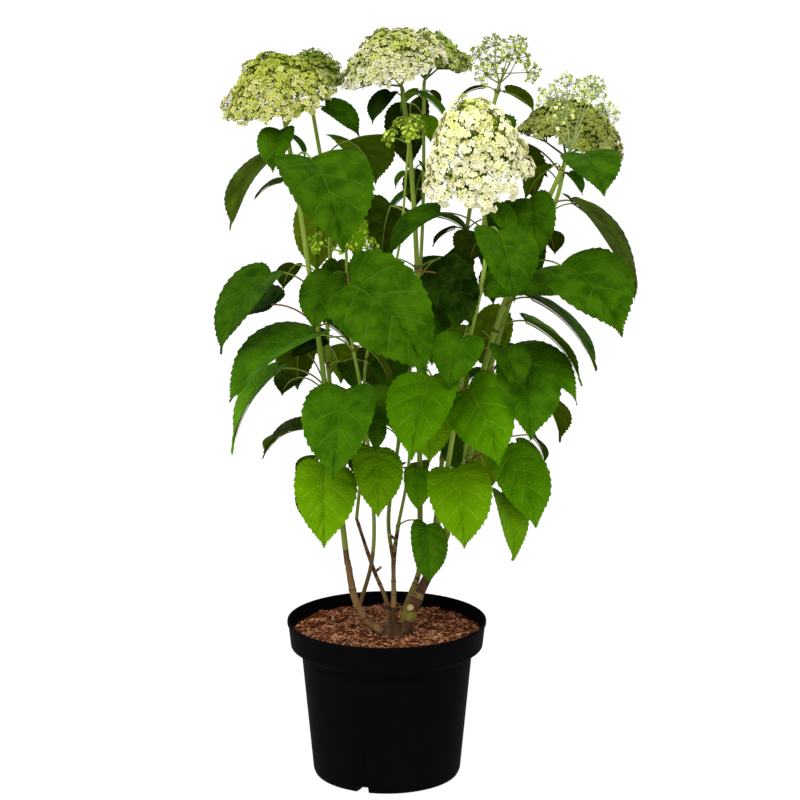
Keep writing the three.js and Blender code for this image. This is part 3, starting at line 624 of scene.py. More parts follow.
# Leaf tones, the leaves' greens with painted shade and light, from those in deep shade to those in
# full light: upper side and under side.
LEAF_SHADE_TONES = dict(
    K=((6, 25, 0), (26, 44, 0)),
    D=((31, 63, 0), (38, 56, 0)),
    O=((41, 55, 0), (44, 58, 0)),
    U=((36, 70, 0), (56, 76, 2)),
    M=((45, 86, 2), (62, 86, 4)),
    F=((70, 121, 0), (70, 94, 4)),
    B=((86, 131, 0), (84, 108, 8)),
)
LEAF_FINISHES = []


def blend(color, other, share):
    return tuple(mix(a, b, share) for a, b in zip(color, other))


for letter, (top, under) in LEAF_SHADE_TONES.items():
    light, pale = blend(top, (140, 190, 20), 0.22), (190, 204, 96)
    vein, under_vein = blend(top, pale, 0.3 if letter in "FB" else 0.2), blend(under, pale, 0.26)
    LEAF_FINISHES += [
        finish("leaf_" + letter, top, light, 0.5, 55, 0.0005, 700, 0.012, net=230),
        finish("leaf_vein_" + letter, vein, blend(vein, top, 0.4), 0.5, 90, 0.0003, 700, 0.012),
        finish("leaf_under_" + letter, under, blend(under, pale, 0.12), 0.7, 80, 0.0005, 700, 0.0),
        finish("leaf_under_vein_" + letter, under_vein, under, 0.65, 90, 0.0003, 700, 0.0),
    ]
# The tone of painted light and shade of each leaf of a shoot, in the order of its rows: . is left
# to the leaf's place.
SHADE_TONED = dict(
    front_left=".U U. MU MM B.",
    right_front="M UD M. MM FF B.",
    far_left="U. OU U. D. K. FU O. B.",
    right="UU OD U. U. F. M. F. B.",
    low_centre=".B F. M.",
    centre="KM .. D. .. .. FK ..",
    far_right=".. .. .. FU D. U. .M",
    left_rear="UB M. BB UU F. M.",
    right_centre=".U . .. .. F. .. B.",
    centre_rear=".M KB .. K. D. .U DF",
    inner="K. .. ..",
)
STEM_FINISHES = [
    finish("stem_green", (152, 176, 74), (128, 152, 48), 0.55, 40, 0.0003, 500, 0.08, (1, 1, 0.2)),
    finish("stem_olive", (130, 140, 58), (108, 120, 42), 0.6, 40, 0.0004, 500, 0.08, (1, 1, 0.2)),
    finish("stem_brown", (104, 86, 48), (84, 64, 36), 0.7, 60, 0.0005, 500, 0.08, (1, 1, 0.2)),
    finish("stalk_green", (136, 160, 64), (114, 136, 46), 0.6, 70, 0.0003, 600, 0.06),
    finish("stalk_red", (122, 104, 50), (134, 82, 50), 0.6, 70, 0.0003, 600, 0.06),
    finish("node_collar", (112, 104, 44), (86, 70, 36), 0.7, 90, 0.0005, 600, 0.2),
]
BARK_FINISHES = [
    finish(
        "bark_tan", (128, 102, 64), (98, 70, 46), 0.8, 110, 0.0016, 400, 0.1, (1, 1, 0.2),
        (164, 136, 104),
    ),
    finish("bark_dark", (86, 58, 38), (60, 40, 28), 0.9, 120, 0.0014, 400, 0.08, (1, 1, 0.3)),
    finish("cut_wood", (186, 160, 108), (160, 130, 84), 0.8, 300, 0.0004, 1500, 0.15),
    finish(
        "bark_olive", (124, 118, 48), (104, 92, 44), 0.8, 100, 0.0014, 400, 0.1, (1, 1, 0.2),
        (150, 140, 84),
    ),
]
SOIL_FINISHES = [
    finish("soil_crumb", (100, 54, 28), (58, 28, 12), 0.95, 300, 0.002, 900, 0.03),
    finish("bark_chip", (156, 94, 58), (122, 70, 40), 0.9, 200, 0.001, 900, 0.03),
    finish("bark_chip_dark", (92, 52, 32), (66, 38, 22), 0.92, 200, 0.001, 900, 0.03),
    finish("bark_chip_pale", (196, 144, 108), (168, 116, 84), 0.9, 200, 0.001, 900, 0.03),
    finish("soil_fibre", (206, 156, 120), (168, 120, 86), 0.9, 200, 0.0005, 900, 0.03),
]
FLOWER_COLORS = dict(
    petal_white=((250, 250, 236), (242, 243, 216)),
    petal_cream=((242, 243, 204), (228, 233, 170)),
    petal_lime=((222, 230, 134), (202, 214, 104)),
    petal_green=((176, 198, 76), (154, 180, 56)),
    bud_lime=((186, 202, 82), (160, 182, 60)),
    bud_green=((136, 164, 58), (112, 144, 42)),
    ray_green=((142, 162, 74), (120, 142, 56)),
    bud_pale=((214, 222, 150), (192, 204, 118)),
)


def flower_finishes(name, tint):
    """The surfaces of one head, each colour's channels times the head's tint, which carries painted
    light and shade.
    """
    made = []
    for kind, colors in FLOWER_COLORS.items():
        color, other = (tuple(min(255, v * t) for v, t in zip(c, tint)) for c in colors)
        made.append(finish(kind + "_" + name, color, other, 0.68, 240, 0.0002, 1800, 0.08))
    return made


WHITE, CREAM, LIME, GREEN, BUD_LIME, BUD_GREEN, RAY, BUD_PALE = range(8)
POT_FINISH = finish("pot_black", (5, 5, 6), (7, 7, 8), 0.7, 30, 0.00006, 2600, 0.012)

# -------------------- leaves and stems

VEINS = 8  # spaces between side veins, on a half blade
STEPS = (0.026, 0.22, 0.41, 0.59, 0.78, 0.974)  # rows in such a space, as shares of it
COLUMNS = (0, 0.02, 0.2, 0.42, 0.64, 0.84, 1)
FINE_OUTLINE = [
    (0, 0), (-0.05, 0.265), (0.12, 0.455), (0.42, 0.487),
    (0.69, 0.368), (0.88, 0.162), (0.97, 0.048), (1.05, 0),
]
# Where the veins leave the midrib, for each point of the outline.
RIB_ROOTS = (0, 0.0, 0.03, 0.14, 0.39, 0.66, 0.86, 1.05)
TOOTH = Record(out=0.013, back=0.005, forward=0.012, behind=0.002)  # shares of the length
# The blade's hollow, quilting and two waves as shares of its length; its rib and skin in mm.
SHEET = Record(bow=0.014, puff=0.028, ripple=0.012, wave=0.02, rib=-0.2, skin=0.22)


def fine_leaf(pile, leaf, tone):
    """A leaf of two skins, quilted between its side veins, with a waved and toothed edge."""
    blade = leaf.blade
    length, width = blade.length, blade.width
    random = seeded(leaf.seed + 7)
    spaces = VEINS if length > 60 else VEINS - 2
    q = np.r_[0, (np.arange(spaces)[:, None] + np.array(STEPS)).ravel() / spaces, 1]
    root = np.interp(q, np.linspace(0, 1, len(RIB_ROOTS)), RIB_ROOTS)
    x, y, _ = path_points([(x, y, 0) for x, y in FINE_OUTLINE], q).T
    # Teeth: every other row's edge point is pushed out and on towards the tip.
    tangent = unit(np.stack([np.gradient(x) * length, np.gradient(y) * width], -1))
    taper = np.clip(q / 0.14, 0, 1) * np.clip((1 - q) / 0.1, 0, 1)
    tooth = np.arange(len(q)) % 2 == 0
    uneven = 0.8 + 0.4 * np.array([random() for _ in q])
    out = np.where(tooth, TOOTH.out, -TOOTH.back) * taper * uneven * length
    ahead = np.where(tooth, TOOTH.forward, -TOOTH.behind) * taper * uneven * length
    x_edge = x + (tangent[:, 0] * ahead - tangent[:, 1] * out) / length
    y_edge = np.maximum(y + (tangent[:, 1] * ahead + tangent[:, 0] * out) / width, 0)
    # From here on, rows along the leaf by columns from its midrib to its edge.
    v = np.array([COLUMNS])
    q, root, x, y, x_edge, y_edge = (row[:, None] for row in (q, root, x, y, x_edge, y_edge))
    bow = -SHEET.bow * np.sin(math.pi * v) * np.sin(math.pi * q)
    along = mix(root, np.where(v < 1, x, x_edge), v) + bow
    across = np.where(v < 1, y, y_edge)
    quilt = np.sin(math.pi * np.mod(q * spaces, 1)) ** 0.7
    puff = SHEET.puff * length * quilt * np.sin(math.pi * v) ** 0.8
    puff = puff * np.sin(math.pi * q) ** 0.5
    rib = np.where(v == 0, SHEET.rib, 0.0)
    skin = np.where(v == 1, 0.0, SHEET.skin)
    faces = grid_faces(len(q), len(COLUMNS))
    on_vein = (np.arange(len(q) - 1) % len(STEPS) == 0)[:, None] & (v[:, :-1] < 0.8)
    kind = (on_vein | (v[:, :-1] == 0)).astype(int).ravel()  # blade or vein
    phase = [random() * TURN for _ in range(4)]
    for side in (1, -1):
        ripple, wave = (SHEET[key] * length * v**2 for key in ("ripple", "wave"))
        ripple = ripple * np.sin(q * 13 + phase[0] + side * phase[1])
        wave = wave * np.sin(q * 5 + phase[2] + side * phase[3])
        for upper in (1, -1):
            lift = ripple + wave + puff + (rib if upper > 0 else 0) + upper * skin
            points = blade_points(blade, along, side * across * v, lift)
            turned = faces if side * upper > 0 else faces[:, [0, 3, 2, 1]]
            pile.add(points, turned, kind + (0 if upper > 0 else 2) + 4 * tone)


# Leaves that reach into the photo's sky or over their neighbours: their seed and size as drawn.
SMALL = {1010: 0.94, 4000: 0.84}
SMALL.update(dict.fromkeys((3071, 6010, 6011, 6061, 7001, 7020, 7060, 8041, 9021, 10000), 0.6))


def drawn(leaf):
    """The leaf at the size that it is drawn."""
    size, blade = SMALL.get(leaf.seed, 1), leaf.blade
    return Record(leaf, blade=Record(blade, length=blade.length * size, width=blade.width * size))


def leaf_shade_tone(leaf, name):
    """The number of a leaf's tone of painted light and shade: its own, or by its place bright low
    in front, dark behind.
    """
    level, side = leaf.seed % 1000 // 10, leaf.seed % 10
    rows = [] if leaf.seed >= MORE_SEEDS else SHADE_TONED[name].split()
    own = rows[level][side : side + 1] if level < len(rows) else ""
    if own.strip("."):
        return list(LEAF_SHADE_TONES).index(own)
    blade = leaf.blade
    middle = blade_points(blade, 0.5, 0.0)
    random = seeded(leaf.seed + 3)
    depth = middle[1] + either(random, 26)
    height = middle[2] + either(random, 60)
    pick = random()
    # Painted shade and light: leaves deep behind and small inner leaves get dark tones, low leaves
    # in front bright ones.
    if blade.length <= STALK.bract:
        letters = "KDD" if depth > 10 else "DUM"
    elif depth > 40:
        letters = "KKD"
    elif depth > -10:
        letters = "KDU"
    elif height < 420:
        letters = "MFB"
    elif height < 560:
        letters = "UMF"
    else:
        letters = "DUM"
    return list(LEAF_SHADE_TONES).index(letters[int(pick * 3)])


def fine_stalk(pile, leaf):
    """A leaf's stalk, with the midrib that it runs on into below the blade."""
    stalk, blade = leaf.stalk, leaf.blade
    line = arc_frame(stalk, np.linspace(0, stalk.length, 12))[0]
    radius = STALK.radius * (0.85 if blade.length > 80 else 0.72)
    rib = np.linspace(radius, 0.25, 14)
    into = blade_points(blade, np.linspace(0.02, 0.86, 14), np.zeros(14), -0.6 - rib)
    radii = np.r_[np.linspace(radius * 1.25, radius, 4), np.full(8, radius), rib]
    red = seeded(leaf.seed + 5)() < 0.35
    tube(pile, np.vstack([line, into]), radii, 7, 4 if red else 3)


def fine_stem(pile, shoot, leaves):
    """A shoot's stem with a swollen collar and two buds at each pair of leaves."""
    ts = np.linspace(0, 1, 120)
    line = path_points(shoot.path, ts)
    heights = [row[0] for row in shoot.leaves]
    swell, dark = (
        sum(np.exp(-(((line[:, 2] - h) / reach) ** 2)) for h in heights) for reach in (3.2, 1.0)
    )
    # Brown where it leaves the cane, then olive, then green, with dark collars.
    share = (line[:, 2] - 230) / 330
    tones = np.where(share < 0.12, 2, np.where(share < 0.4, 1, 0))
    tones = np.where(dark > 0.5, 5, tones)
    wander = either(seeded(len(leaves) + 11), 3)

    def ridges(t, angle):
        return 0.10 * np.sin(3 * angle + wander + 9 * t) + 0.05 * np.sin(5 * angle - 14 * t)

    radii = mix(*shoot.radius, ts) * (1 + 0.32 * np.minimum(swell, 1))
    tube(pile, line, radii, 12, tones, ridges)
    for leaf in leaves:
        bearing = leaf.stalk.bearing * DEG
        outward = np.array([math.sin(bearing), -math.cos(bearing), 0])
        foot = leaf.node + outward * 1.6 + UP * 1.5
        bud = np.array([foot, foot + outward * 1.8 + UP * 2.2, foot + outward * 2.2 + UP * 4.6])
        tube(pile, bud, [1.0, 1.15, 0.25], 6, 5)


# -------------------- flower heads

# Small shapes that are scattered: their points and faces.
PETAL = (
    [
        (0, 0, 0), (-0.42, 0.42, 0.16), (0.42, 0.42, 0.16), (-0.36, 0.86, 0.2),
        (0.36, 0.86, 0.2), (0, 1.02, 0.08), (0, 0.5, 0.02),
    ],
    [(0, 2, 6), (0, 6, 1), (1, 6, 3), (6, 2, 4), (6, 4, 5), (6, 5, 3)],
)
BEAD = (
    [(1, 0, 0), (0, 1, 0), (-1, 0, 0), (0, -1, 0), (0, 0, 1.1), (0, 0, -1.1)],
    [(0, 1, 4), (1, 2, 4), (2, 3, 4), (3, 0, 4), (1, 0, 5), (2, 1, 5), (3, 2, 5), (0, 3, 5)],
)
CHIP = (
    [
        (-1, -0.4, -0.14), (0.9, -0.5, -0.1), (1.1, 0.35, -0.16), (-0.8, 0.5, -0.12),
        (-0.8, -0.3, 0.16), (0.7, -0.4, 0.14), (0.9, 0.25, 0.12), (-0.6, 0.4, 0.18),
    ],
    [
        (3, 2, 1), (3, 1, 0), (4, 5, 6), (4, 6, 7), (0, 1, 5), (0, 5, 4),
        (1, 2, 6), (1, 6, 5), (2, 3, 7), (2, 7, 6), (3, 0, 4), (3, 4, 7),
    ],
)


def bases(normals, spins=0.0):
    """Two directions across each normal, turned by spins."""
    reference = np.where(np.abs(normals[:, 2:3]) < 0.9, [[0.0, 0, 1]], [[1.0, 0, 0]])
    a = unit(np.cross(reference, normals))
    b = np.cross(normals, a)
    return around(spins, a, b), around(spins, b, -a)


def scatter(pile, shape, at, normals, spins, sizes, tones):
    """Copies of a small shape, each turned onto its normal."""
    if not len(at):
        return
    (x, y, z), faces = np.array(shape[0], float).T[..., None], np.array(shape[1])
    a, b = bases(normals, spins)
    sizes = np.broadcast_to(sizes, len(at))[:, None, None]
    points = at[:, None] + sizes * (x * a[:, None] + y * b[:, None] + z * normals[:, None])
    shifted = faces[None] + (np.arange(len(at)) * len(x))[:, None, None]
    tones = np.repeat(np.broadcast_to(tones, len(at)), len(faces))
    pile.add(points, shifted.reshape(-1, 3), tones)


def florets(pile, at, face, spins, sizes, tones, tilts=(0, 0, 0, 0)):
    """Flowers of four petals, each petal of a flower tilted a little on its own."""
    for quarter, tilt in enumerate(tilts):
        turn = spins + quarter * math.pi / 2 + tilt
        scatter(pile, PETAL, at, face, turn, sizes, tones)


def threads(pile, start, end, radius, tone):
    """Thin three-sided stalks between pairs of points."""
    a, b = bases(unit(end - start))
    ring = around(np.arange(3) * 2 * math.pi / 3, a[:, None], b[:, None])
    points = np.concatenate([start[:, None] + ring * radius, end[:, None] + ring * radius * 0.8], 1)
    faces = np.array([[0, 1, 4, 3], [1, 2, 5, 4], [2, 0, 3, 5]])
    shifted = faces[None] + (np.arange(len(start)) * 6)[:, None, None]
    pile.add(points, shifted.reshape(-1, 4), tone)


def rays(pile, head, radii):
    """The head's first rays. Gives the point below the fork and those where the rays fork."""
    under = head.fork - head.axis * 2
    forks = mix(head.fork, spread(head, HEAD.rays), HEAD.fork_share)
    for target in forks:
        tube(pile, straight(under, target, 5), radii, 6, RAY)
    return under, forks


def dome_surface(head, out, bearing, phase):
    """Points and normals on the lumpy dome, at shares of its radius and bearings in radians."""
    lump = np.sin(4 * bearing + 8 * out + phase) + np.sin(7 * bearing - 5 * out + 2 * phase)
    rise = head.rise * (1 - head.curl * out * out) + lump * HEAD.lumps / 2
    reach = out * head.width / 2 * (1 + lump * HEAD.lumps * out / head.width)
    ring = around(bearing, head.across, head.over)
    slope = 2 * head.rise * head.curl * out / (head.width / 2)
    at = head.fork + ring * reach[:, None] + rise[:, None] * head.axis
    return at, unit(ring * slope[:, None] + head.axis)


def even_spiral(head, count):
    """Shares of the radius and bearings that spread points evenly over the dome's surface."""
    out = np.linspace(0, 1, 400)
    area = np.cumsum(out * np.hypot(head.width / 2, 2 * head.rise * head.curl * out))
    shares = np.interp((np.arange(count) + 0.5) / count, area / area[-1], out)
    return shares, np.arange(count) * GOLDEN * DEG


# How each dense head has opened: shares of its florets per petal tone, the size of a floret, how
# many buds it has for each floret, and how its dome differs from the solid's.
OPENED = dict(
    right_front=Record(tones=(0.50, 0.26, 0.16, 0.08), floret=3.9, buds=0.8, wide=1.0, flat=1.0),
    centre=Record(tones=(0.30, 0.24, 0.22, 0.24), floret=3.5, buds=0.9, wide=1.07, flat=0.86),
    far_left=Record(tones=(0.12, 0.24, 0.34, 0.30), floret=3.3, buds=1.2, wide=1.0, flat=0.93),
    far_right=Record(tones=(0.04, 0.40, 0.36, 0.20), floret=3.0, buds=1.2, wide=1.0, flat=0.95),
    left_rear=Record(tones=(0.04, 0.10, 0.30, 0.56), floret=2.6, buds=1.6, wide=0.96, flat=1.0),
    centre_rear=Record(tones=(0.04, 0.12, 0.34, 0.50), floret=2.6, buds=1.6, wide=1.0, flat=0.9),
)
# What the channels of a head's colours are multiplied by: partly the head's own colour, partly
# painted light and shade, darkest for the heads that lie in shade.
TINTS_AND_SHADE = dict(
    right_front=(1.02, 1.0, 0.92),
    centre=(0.84, 0.83, 0.76),
    far_left=(0.82, 0.81, 0.63),
    far_right=(0.67, 0.68, 0.44),
    left_rear=(0.70, 0.72, 0.62),
    centre_rear=(0.86, 0.88, 0.86),
    right=(1.12, 1.07, 1.55),
    right_centre=(0.97, 0.94, 1.05),
    front_left=(0.95, 1.04, 0.6),
    inner=(0.98, 1.0, 0.8),
)
CLUSTERS = 60  # of florets on a dense head
DEEP_BUDS = 620


def dense_head(pile, shoot, name, phase):
    """A dome of florets in clusters, with unopened buds between and below them."""
    opened, head = OPENED[name], head_of(shoot)
    head.update(width=head.width * opened.wide, curl=head.curl * opened.flat)
    random = np.random.default_rng(phase)
    out, bearing = even_spiral(head, CLUSTERS)
    clusters, normals = dome_surface(head, out * 0.97, bearing, phase)
    slant = np.hypot(head.width / 2, head.rise * head.curl)
    area = math.pi * head.width / 2 * slant
    reach = math.sqrt(area / CLUSTERS / math.pi) * 1.22
    # A branch of the nearest ray carries each cluster's seat.
    _, forks = rays(pile, head, [1.5, 1.3, 1.2, 1.1, 1.0])
    seats = clusters - normals * 8
    threads(pile, forks[nearest(clusters, forks)[0]], seats, 0.75, RAY)
    # Florets stand on a small dome over each cluster's seat.
    count = int(area / opened.floret**2 * 0.95)
    out, bearing = even_spiral(head, count)
    out = np.clip(out + random.normal(0, 0.012, count), 0, 1)
    at, up = dome_surface(head, out, bearing + random.normal(0, 0.03, count), phase)
    own, far = nearest(at, clusters)
    limits = random.uniform(0.76, 1.12, CLUSTERS) * reach
    keep = far / limits[own] + random.normal(0, 0.06, count) < 1
    at, up, own, far, out = (values[keep] for values in (at, up, own, far / reach, out))
    away = at - clusters[own]
    push = random.normal(0, 2.2, CLUSTERS)[own]
    at = at + up * (4.6 * (1 - far**2) - 2.6 + push + random.normal(0, 0.8, len(at)))[:, None]
    face = unit(up + 0.55 * away / reach + random.normal(0, 0.3, at.shape))
    bias = random.random(CLUSTERS)[own]
    # The outer florets open first, so the middle of the head stays greener.
    chance = 0.45 * random.random(len(at)) + 0.22 * bias + 0.6 * (0.82 - out)
    steps = np.cumsum(opened.tones)
    tone = np.minimum(np.searchsorted(steps, np.clip(chance, 0, 0.999)), GREEN)
    sizes = opened.floret * random.uniform(0.8, 1.18, len(at))
    spins = random.random(len(at)) * 2 * math.pi
    florets(pile, at, face, spins, sizes, tone, random.normal(0, 0.12, (4, len(at))))
    hearts = np.where(tone < LIME, BUD_PALE, BUD_LIME)
    scatter(pile, BEAD, at + face * 0.5, face, spins, 0.75, hearts)
    threads(pile, seats[own] + random.normal(0, 1.0, at.shape), at, 0.32, RAY)

    def within(points, share):
        """Which points lie within a share of their nearest cluster's limit."""
        own, far = nearest(points, clusters)
        return far < share * limits[own]

    # Unopened buds fill in between and below the florets.
    count = int(len(at) * opened.buds)
    out, bearing = even_spiral(head, count)
    out = np.clip(out + random.normal(0, 0.02, count), 0, 1)
    at, up = dome_surface(head, out, bearing + 1.7, phase)
    near = within(at, 0.94)
    at, up = (at - up * random.uniform(-0.2, 3.6, count)[:, None])[near], up[near]
    sizes = random.uniform(0.9, 1.5, len(at))
    light, dark = (BUD_PALE, BUD_LIME) if steps[0] > 0.2 else (BUD_LIME, BUD_GREEN)
    tones = np.where(random.random(len(at)) < 0.6, light, dark)
    scatter(pile, BEAD, at, up, 0.0, sizes, tones)
    # Large buds deep inside close the view through the head.
    out, bearing = even_spiral(head, DEEP_BUDS)
    at, up = dome_surface(head, out * 0.96, bearing + 0.8, phase)
    near = within(at, 0.86) | (out < 0.84)
    at, up = at[near], up[near]
    at = at - up * random.uniform(4.5, 9.0, len(at))[:, None]
    tones = np.where(random.random(len(at)) < 0.5, BUD_LIME, BUD_GREEN)
    scatter(pile, BEAD, at, up, 0.0, random.uniform(1.8, 3.2, len(at)), tones)


def open_head(pile, shoot, phase):
    """An airy head: rays that fork twice, and beads on short stalks at their tips."""
    head = head_of(shoot)
    random = np.random.default_rng(phase)
    under, forks = rays(pile, head, [1.25, 1.1, 1.0, 0.9, 0.85])
    count = head.clusters
    size = math.sqrt(math.pi * head.width ** 2 / 4 / count) * 0.42
    twigs, each = 17, 7
    i = np.arange(twigs)
    polar, turn = np.arccos(1 - 1.02 * (i + 0.5) / twigs), i * GOLDEN * DEG
    for target in spread(head, count):
        near = forks[np.argmin(np.linalg.norm(forks - target, axis=1))]
        outward = unit(target - head.fork)
        seat = target - outward * size * 0.55
        tube(pile, straight(mix(near, under, 0.12), seat, 4), [0.8, 0.7, 0.65, 0.6], 5, RAY)
        ways = around(polar, outward, around(turn, *bases(outward[None])))
        ways = unit(ways + random.normal(0, 0.1, ways.shape))
        tips = seat + ways * (size * random.uniform(0.75, 1.12, twigs))[:, None]
        threads(pile, np.repeat(seat[None], twigs, 0), tips, 0.38, RAY)
        spray = unit(np.repeat(ways, each, 0) * 1.1 + random.normal(0, 0.75, (twigs * each, 3)))
        tips = np.repeat(tips, each, 0)
        ends = tips + spray * random.uniform(1.6, 3.6, len(tips))[:, None]
        threads(pile, tips, ends, 0.22, RAY)
        tones = np.where(random.random(len(ends)) < 0.55, BUD_LIME, BUD_GREEN)
        scatter(pile, BEAD, ends, spray, 0.0, random.uniform(0.7, 1.15, len(ends)), tones)
        some = random.random(len(ends)) < 0.16
        at, face = ends[some], unit(spray[some] + outward)
        spins = random.random(len(at)) * TURN
        tones = np.where(random.random(len(at)) < 0.6, GREEN, LIME)
        florets(pile, at + face * 0.8, face, spins, 2.3, tones)


def neck(pile, shoot):
    """The stem's bend from the shoot's tip to its head's fork."""
    tip = path_points(shoot.path, 1.0)[0]
    along = unit(tip - path_points(shoot.path, 0.97)[0])
    start, bend = tip - along * 0.5, tip + along * HEAD.neck * 0.6
    fork = head_of(shoot)["fork"]
    t = np.linspace(0, 1, 9)[:, None]
    line = mix(mix(start, bend, t), mix(bend, fork, t), t)
    tube(pile, line, mix(shoot.radius[1], 1.5, t[:, 0] ** 2), 10, RAY)


# -------------------- pot, soil, canes


def inner_radius(z):
    body_top = POT.height - POT.collar - POT.chamfer
    body = mix(POT.foot, POT.body, z / body_top) - POT.wall
    collar = POT.rim - POT.wall - 2
    return body if z <= body_top else mix(body, collar, min(1, (z - body_top) / POT.chamfer))


def rounded(profile, radius, steps=4):
    """The profile's corners cut round."""
    made = [profile[0]]
    for before, corner, after in zip(profile, profile[1:], profile[2:]):
        before, corner, after = (np.array(p, float) for p in (before, corner, after))
        one, two = before - corner, after - corner
        cut = min(radius, np.linalg.norm(one) * 0.45, np.linalg.norm(two) * 0.45)
        one, two = corner + unit(one) * cut, corner + unit(two) * cut
        for t in np.linspace(0, 1, steps):
            made.append(tuple(mix(mix(one, corner, t), mix(corner, two, t), t)))
    made.append(profile[-1])
    return made


def make_pot():
    """The pot turned from one profile, with notches in its foot."""
    foot, rim, wall, cut = POT.foot, POT.rim, POT.wall, POT.round
    height, collar_foot = POT.height, POT.height - POT.collar
    body_top = collar_foot - POT.chamfer
    outside = [
        (0, 0.6), (62, 0.6), (64, 0), (foot - cut, 0), (foot - cut * 0.3, cut * 0.3), (foot, cut),
        (POT.body, body_top), (rim - 4, collar_foot), (rim - 1.2, height - 4.5),
        (rim, height - 4), (rim, height),
    ]
    inside = [
        (rim - wall, height), (rim - wall - 2, collar_foot), (inner_radius(body_top), body_top),
        (inner_radius(cut), cut), (foot - cut, POT.floor), (0, POT.floor),
    ]
    r, z = np.array(rounded(outside + inside, 1.4)).T
    half, turns = DRAIN.width / 2 / foot, np.arange(DRAIN.count) * 360 / DRAIN.count
    bearings = (DRAIN.first - 90 + turns) % 360 * DEG
    # Two close edges on each side of a notch keep its walls upright.
    edges = (bearings[:, None] + [-half, -half - 0.006, half, half + 0.006]).ravel()
    angles = np.sort(np.r_[np.arange(144) * 2 * math.pi / 144, np.mod(edges, 2 * math.pi)])
    wide = np.maximum(r, 0.01)[:, None]
    points = np.stack([wide * np.cos(angles), wide * np.sin(angles), z[:, None] + 0 * angles], -1)
    # Drain notches: the foot's rows are lifted there, deep enough to see the floor through.
    inner = np.arange(len(r)) > np.argmax(z)
    least = DRAIN.height + np.where(inner, POT.floor, 0)
    for bearing in bearings:
        off = np.abs(np.mod(angles - bearing + math.pi, 2 * math.pi) - math.pi)
        notch = (off < half + 0.001)[None] & (r > foot - DRAIN.depth)[:, None]
        lifted = np.maximum(points[..., 2], least[:, None])
        points[..., 2] = np.where(notch, lifted, points[..., 2])
    pile = Pile()
    pile.add(points, grid_faces(len(r), len(angles), wrap=True), 0)
    pile.build("pot_shell", [POT_FINISH], "pot", ["pot"])


CHIPS, FIBRES = 3400, 420  # on the compost


def soil_height(x, y):
    out = np.hypot(x, y) / POT.rim
    crown = np.hypot(x - CROWN.x, y - CROWN.y) / CROWN.radius
    uneven = np.sin(x * 0.11 + 1.3) * np.cos(y * 0.13) * np.clip(crown - 1.3, 0, 1)
    slope = mix(SOIL.middle, SOIL.edge, np.maximum(0, out * 1.25 - 0.25))
    return slope + uneven * SOIL.bumps


def make_soil():
    """The compost's crumbly top down to the pot's wall, with bark chips and fibres on it."""
    random = np.random.default_rng(41)
    edge = inner_radius(SOIL.edge) - GAP
    rings, sides = 46, 150
    r = np.linspace(0.3, edge, rings)[:, None]
    a = (np.arange(sides) * 2 * math.pi / sides)[None]
    x, y = r * np.cos(a), r * np.sin(a)
    z = soil_height(x, y) - 1.0
    rough = random.normal(0, 0.7, z.shape) + 1.2 * np.sin(x * 0.31 + 2) * np.sin(y * 0.27 + 1)
    top = np.stack([x, y, z + rough * np.clip((edge - r) / 6, 0, 1)], -1).reshape(-1, 3)
    skirt = [edge * np.cos(a[0]), edge * np.sin(a[0]), np.full(sides, SOIL.edge - 12.0)]
    pile = Pile()
    faces = grid_faces(rings + 1, sides, wrap=True)
    pile.add(np.vstack([top, np.stack(skirt, -1)]), faces, 0)
    out = np.sqrt(random.random(CHIPS)) * (edge - 4)
    turn = random.random(CHIPS) * 2 * math.pi
    x, y = out * np.cos(turn), out * np.sin(turn)
    clear = np.hypot(x - CROWN.x, y - CROWN.y) > CROWN.radius * 0.75
    x, y = x[clear], y[clear]
    n = len(x)
    seat = np.stack([x, y, soil_height(x, y) + random.uniform(-1.2, 1.6, n)], -1)
    lean = unit(np.stack([random.normal(0, 0.45, n), random.normal(0, 0.45, n), np.ones(n)], -1))
    sizes = random.gamma(4.0, 0.5, n).clip(0.8, 5.0)
    tones = random.choice([1, 2, 3, 0], n, p=[0.42, 0.34, 0.12, 0.12])
    scatter(pile, CHIP, seat, lean, random.random(n) * TURN, sizes, tones)
    s = np.linspace(-0.5, 0.5, 6)
    for _ in range(FIBRES):
        turn, out = random.random() * TURN, math.sqrt(random.random()) * (edge - 12)
        way, long = random.random() * TURN, random.uniform(4, 15)
        bow = random.normal(0, 0.8) * (0.25 - s * s) * 4
        x = out * math.cos(turn) + math.cos(way) * s * long - math.sin(way) * bow
        y = out * math.sin(turn) + math.sin(way) * s * long + math.cos(way) * bow
        z = soil_height(x, y) + 1.4 + random.uniform(0, 1.2) * np.cos(s * 4)
        tube(pile, np.stack([x, y, z], -1), random.uniform(0.16, 0.42), 4, 4)
    pile.build("compost", SOIL_FINISHES, "soil", ["soil"], smooth=False)


def bark_relief(seed, depth):
    """Lengthwise ridges and shallow flakes, as an addition to a limb's radius."""
    shift = seeded(seed)() * 50

    def bumps(t, angle, across, along):
        c, s = math.cos(angle) * across, math.sin(angle) * across
        return noise.noise(Vector((c + shift, s, t * along)))

    def relief(t, angle):
        places = np.broadcast(t, angle)
        made = [bumps(*at, 2.2, 5) * 0.65 + bumps(*at, 6, 11) * 0.35 for at in places]
        return np.reshape(made, places.shape) * depth

    return relief


# Cut stubs: the share of the cane's path they spring from, their bearing and length.
STUBS = {
    "cane_inner": [(0.62, 60, 11)],
    "cane_centre": [(0.86, 290, 12)],
    "cane_right": [(0.2, 330, 9), (0.7, 120, 10)],
    "cane_left": [(0.52, 240, 8)],
}


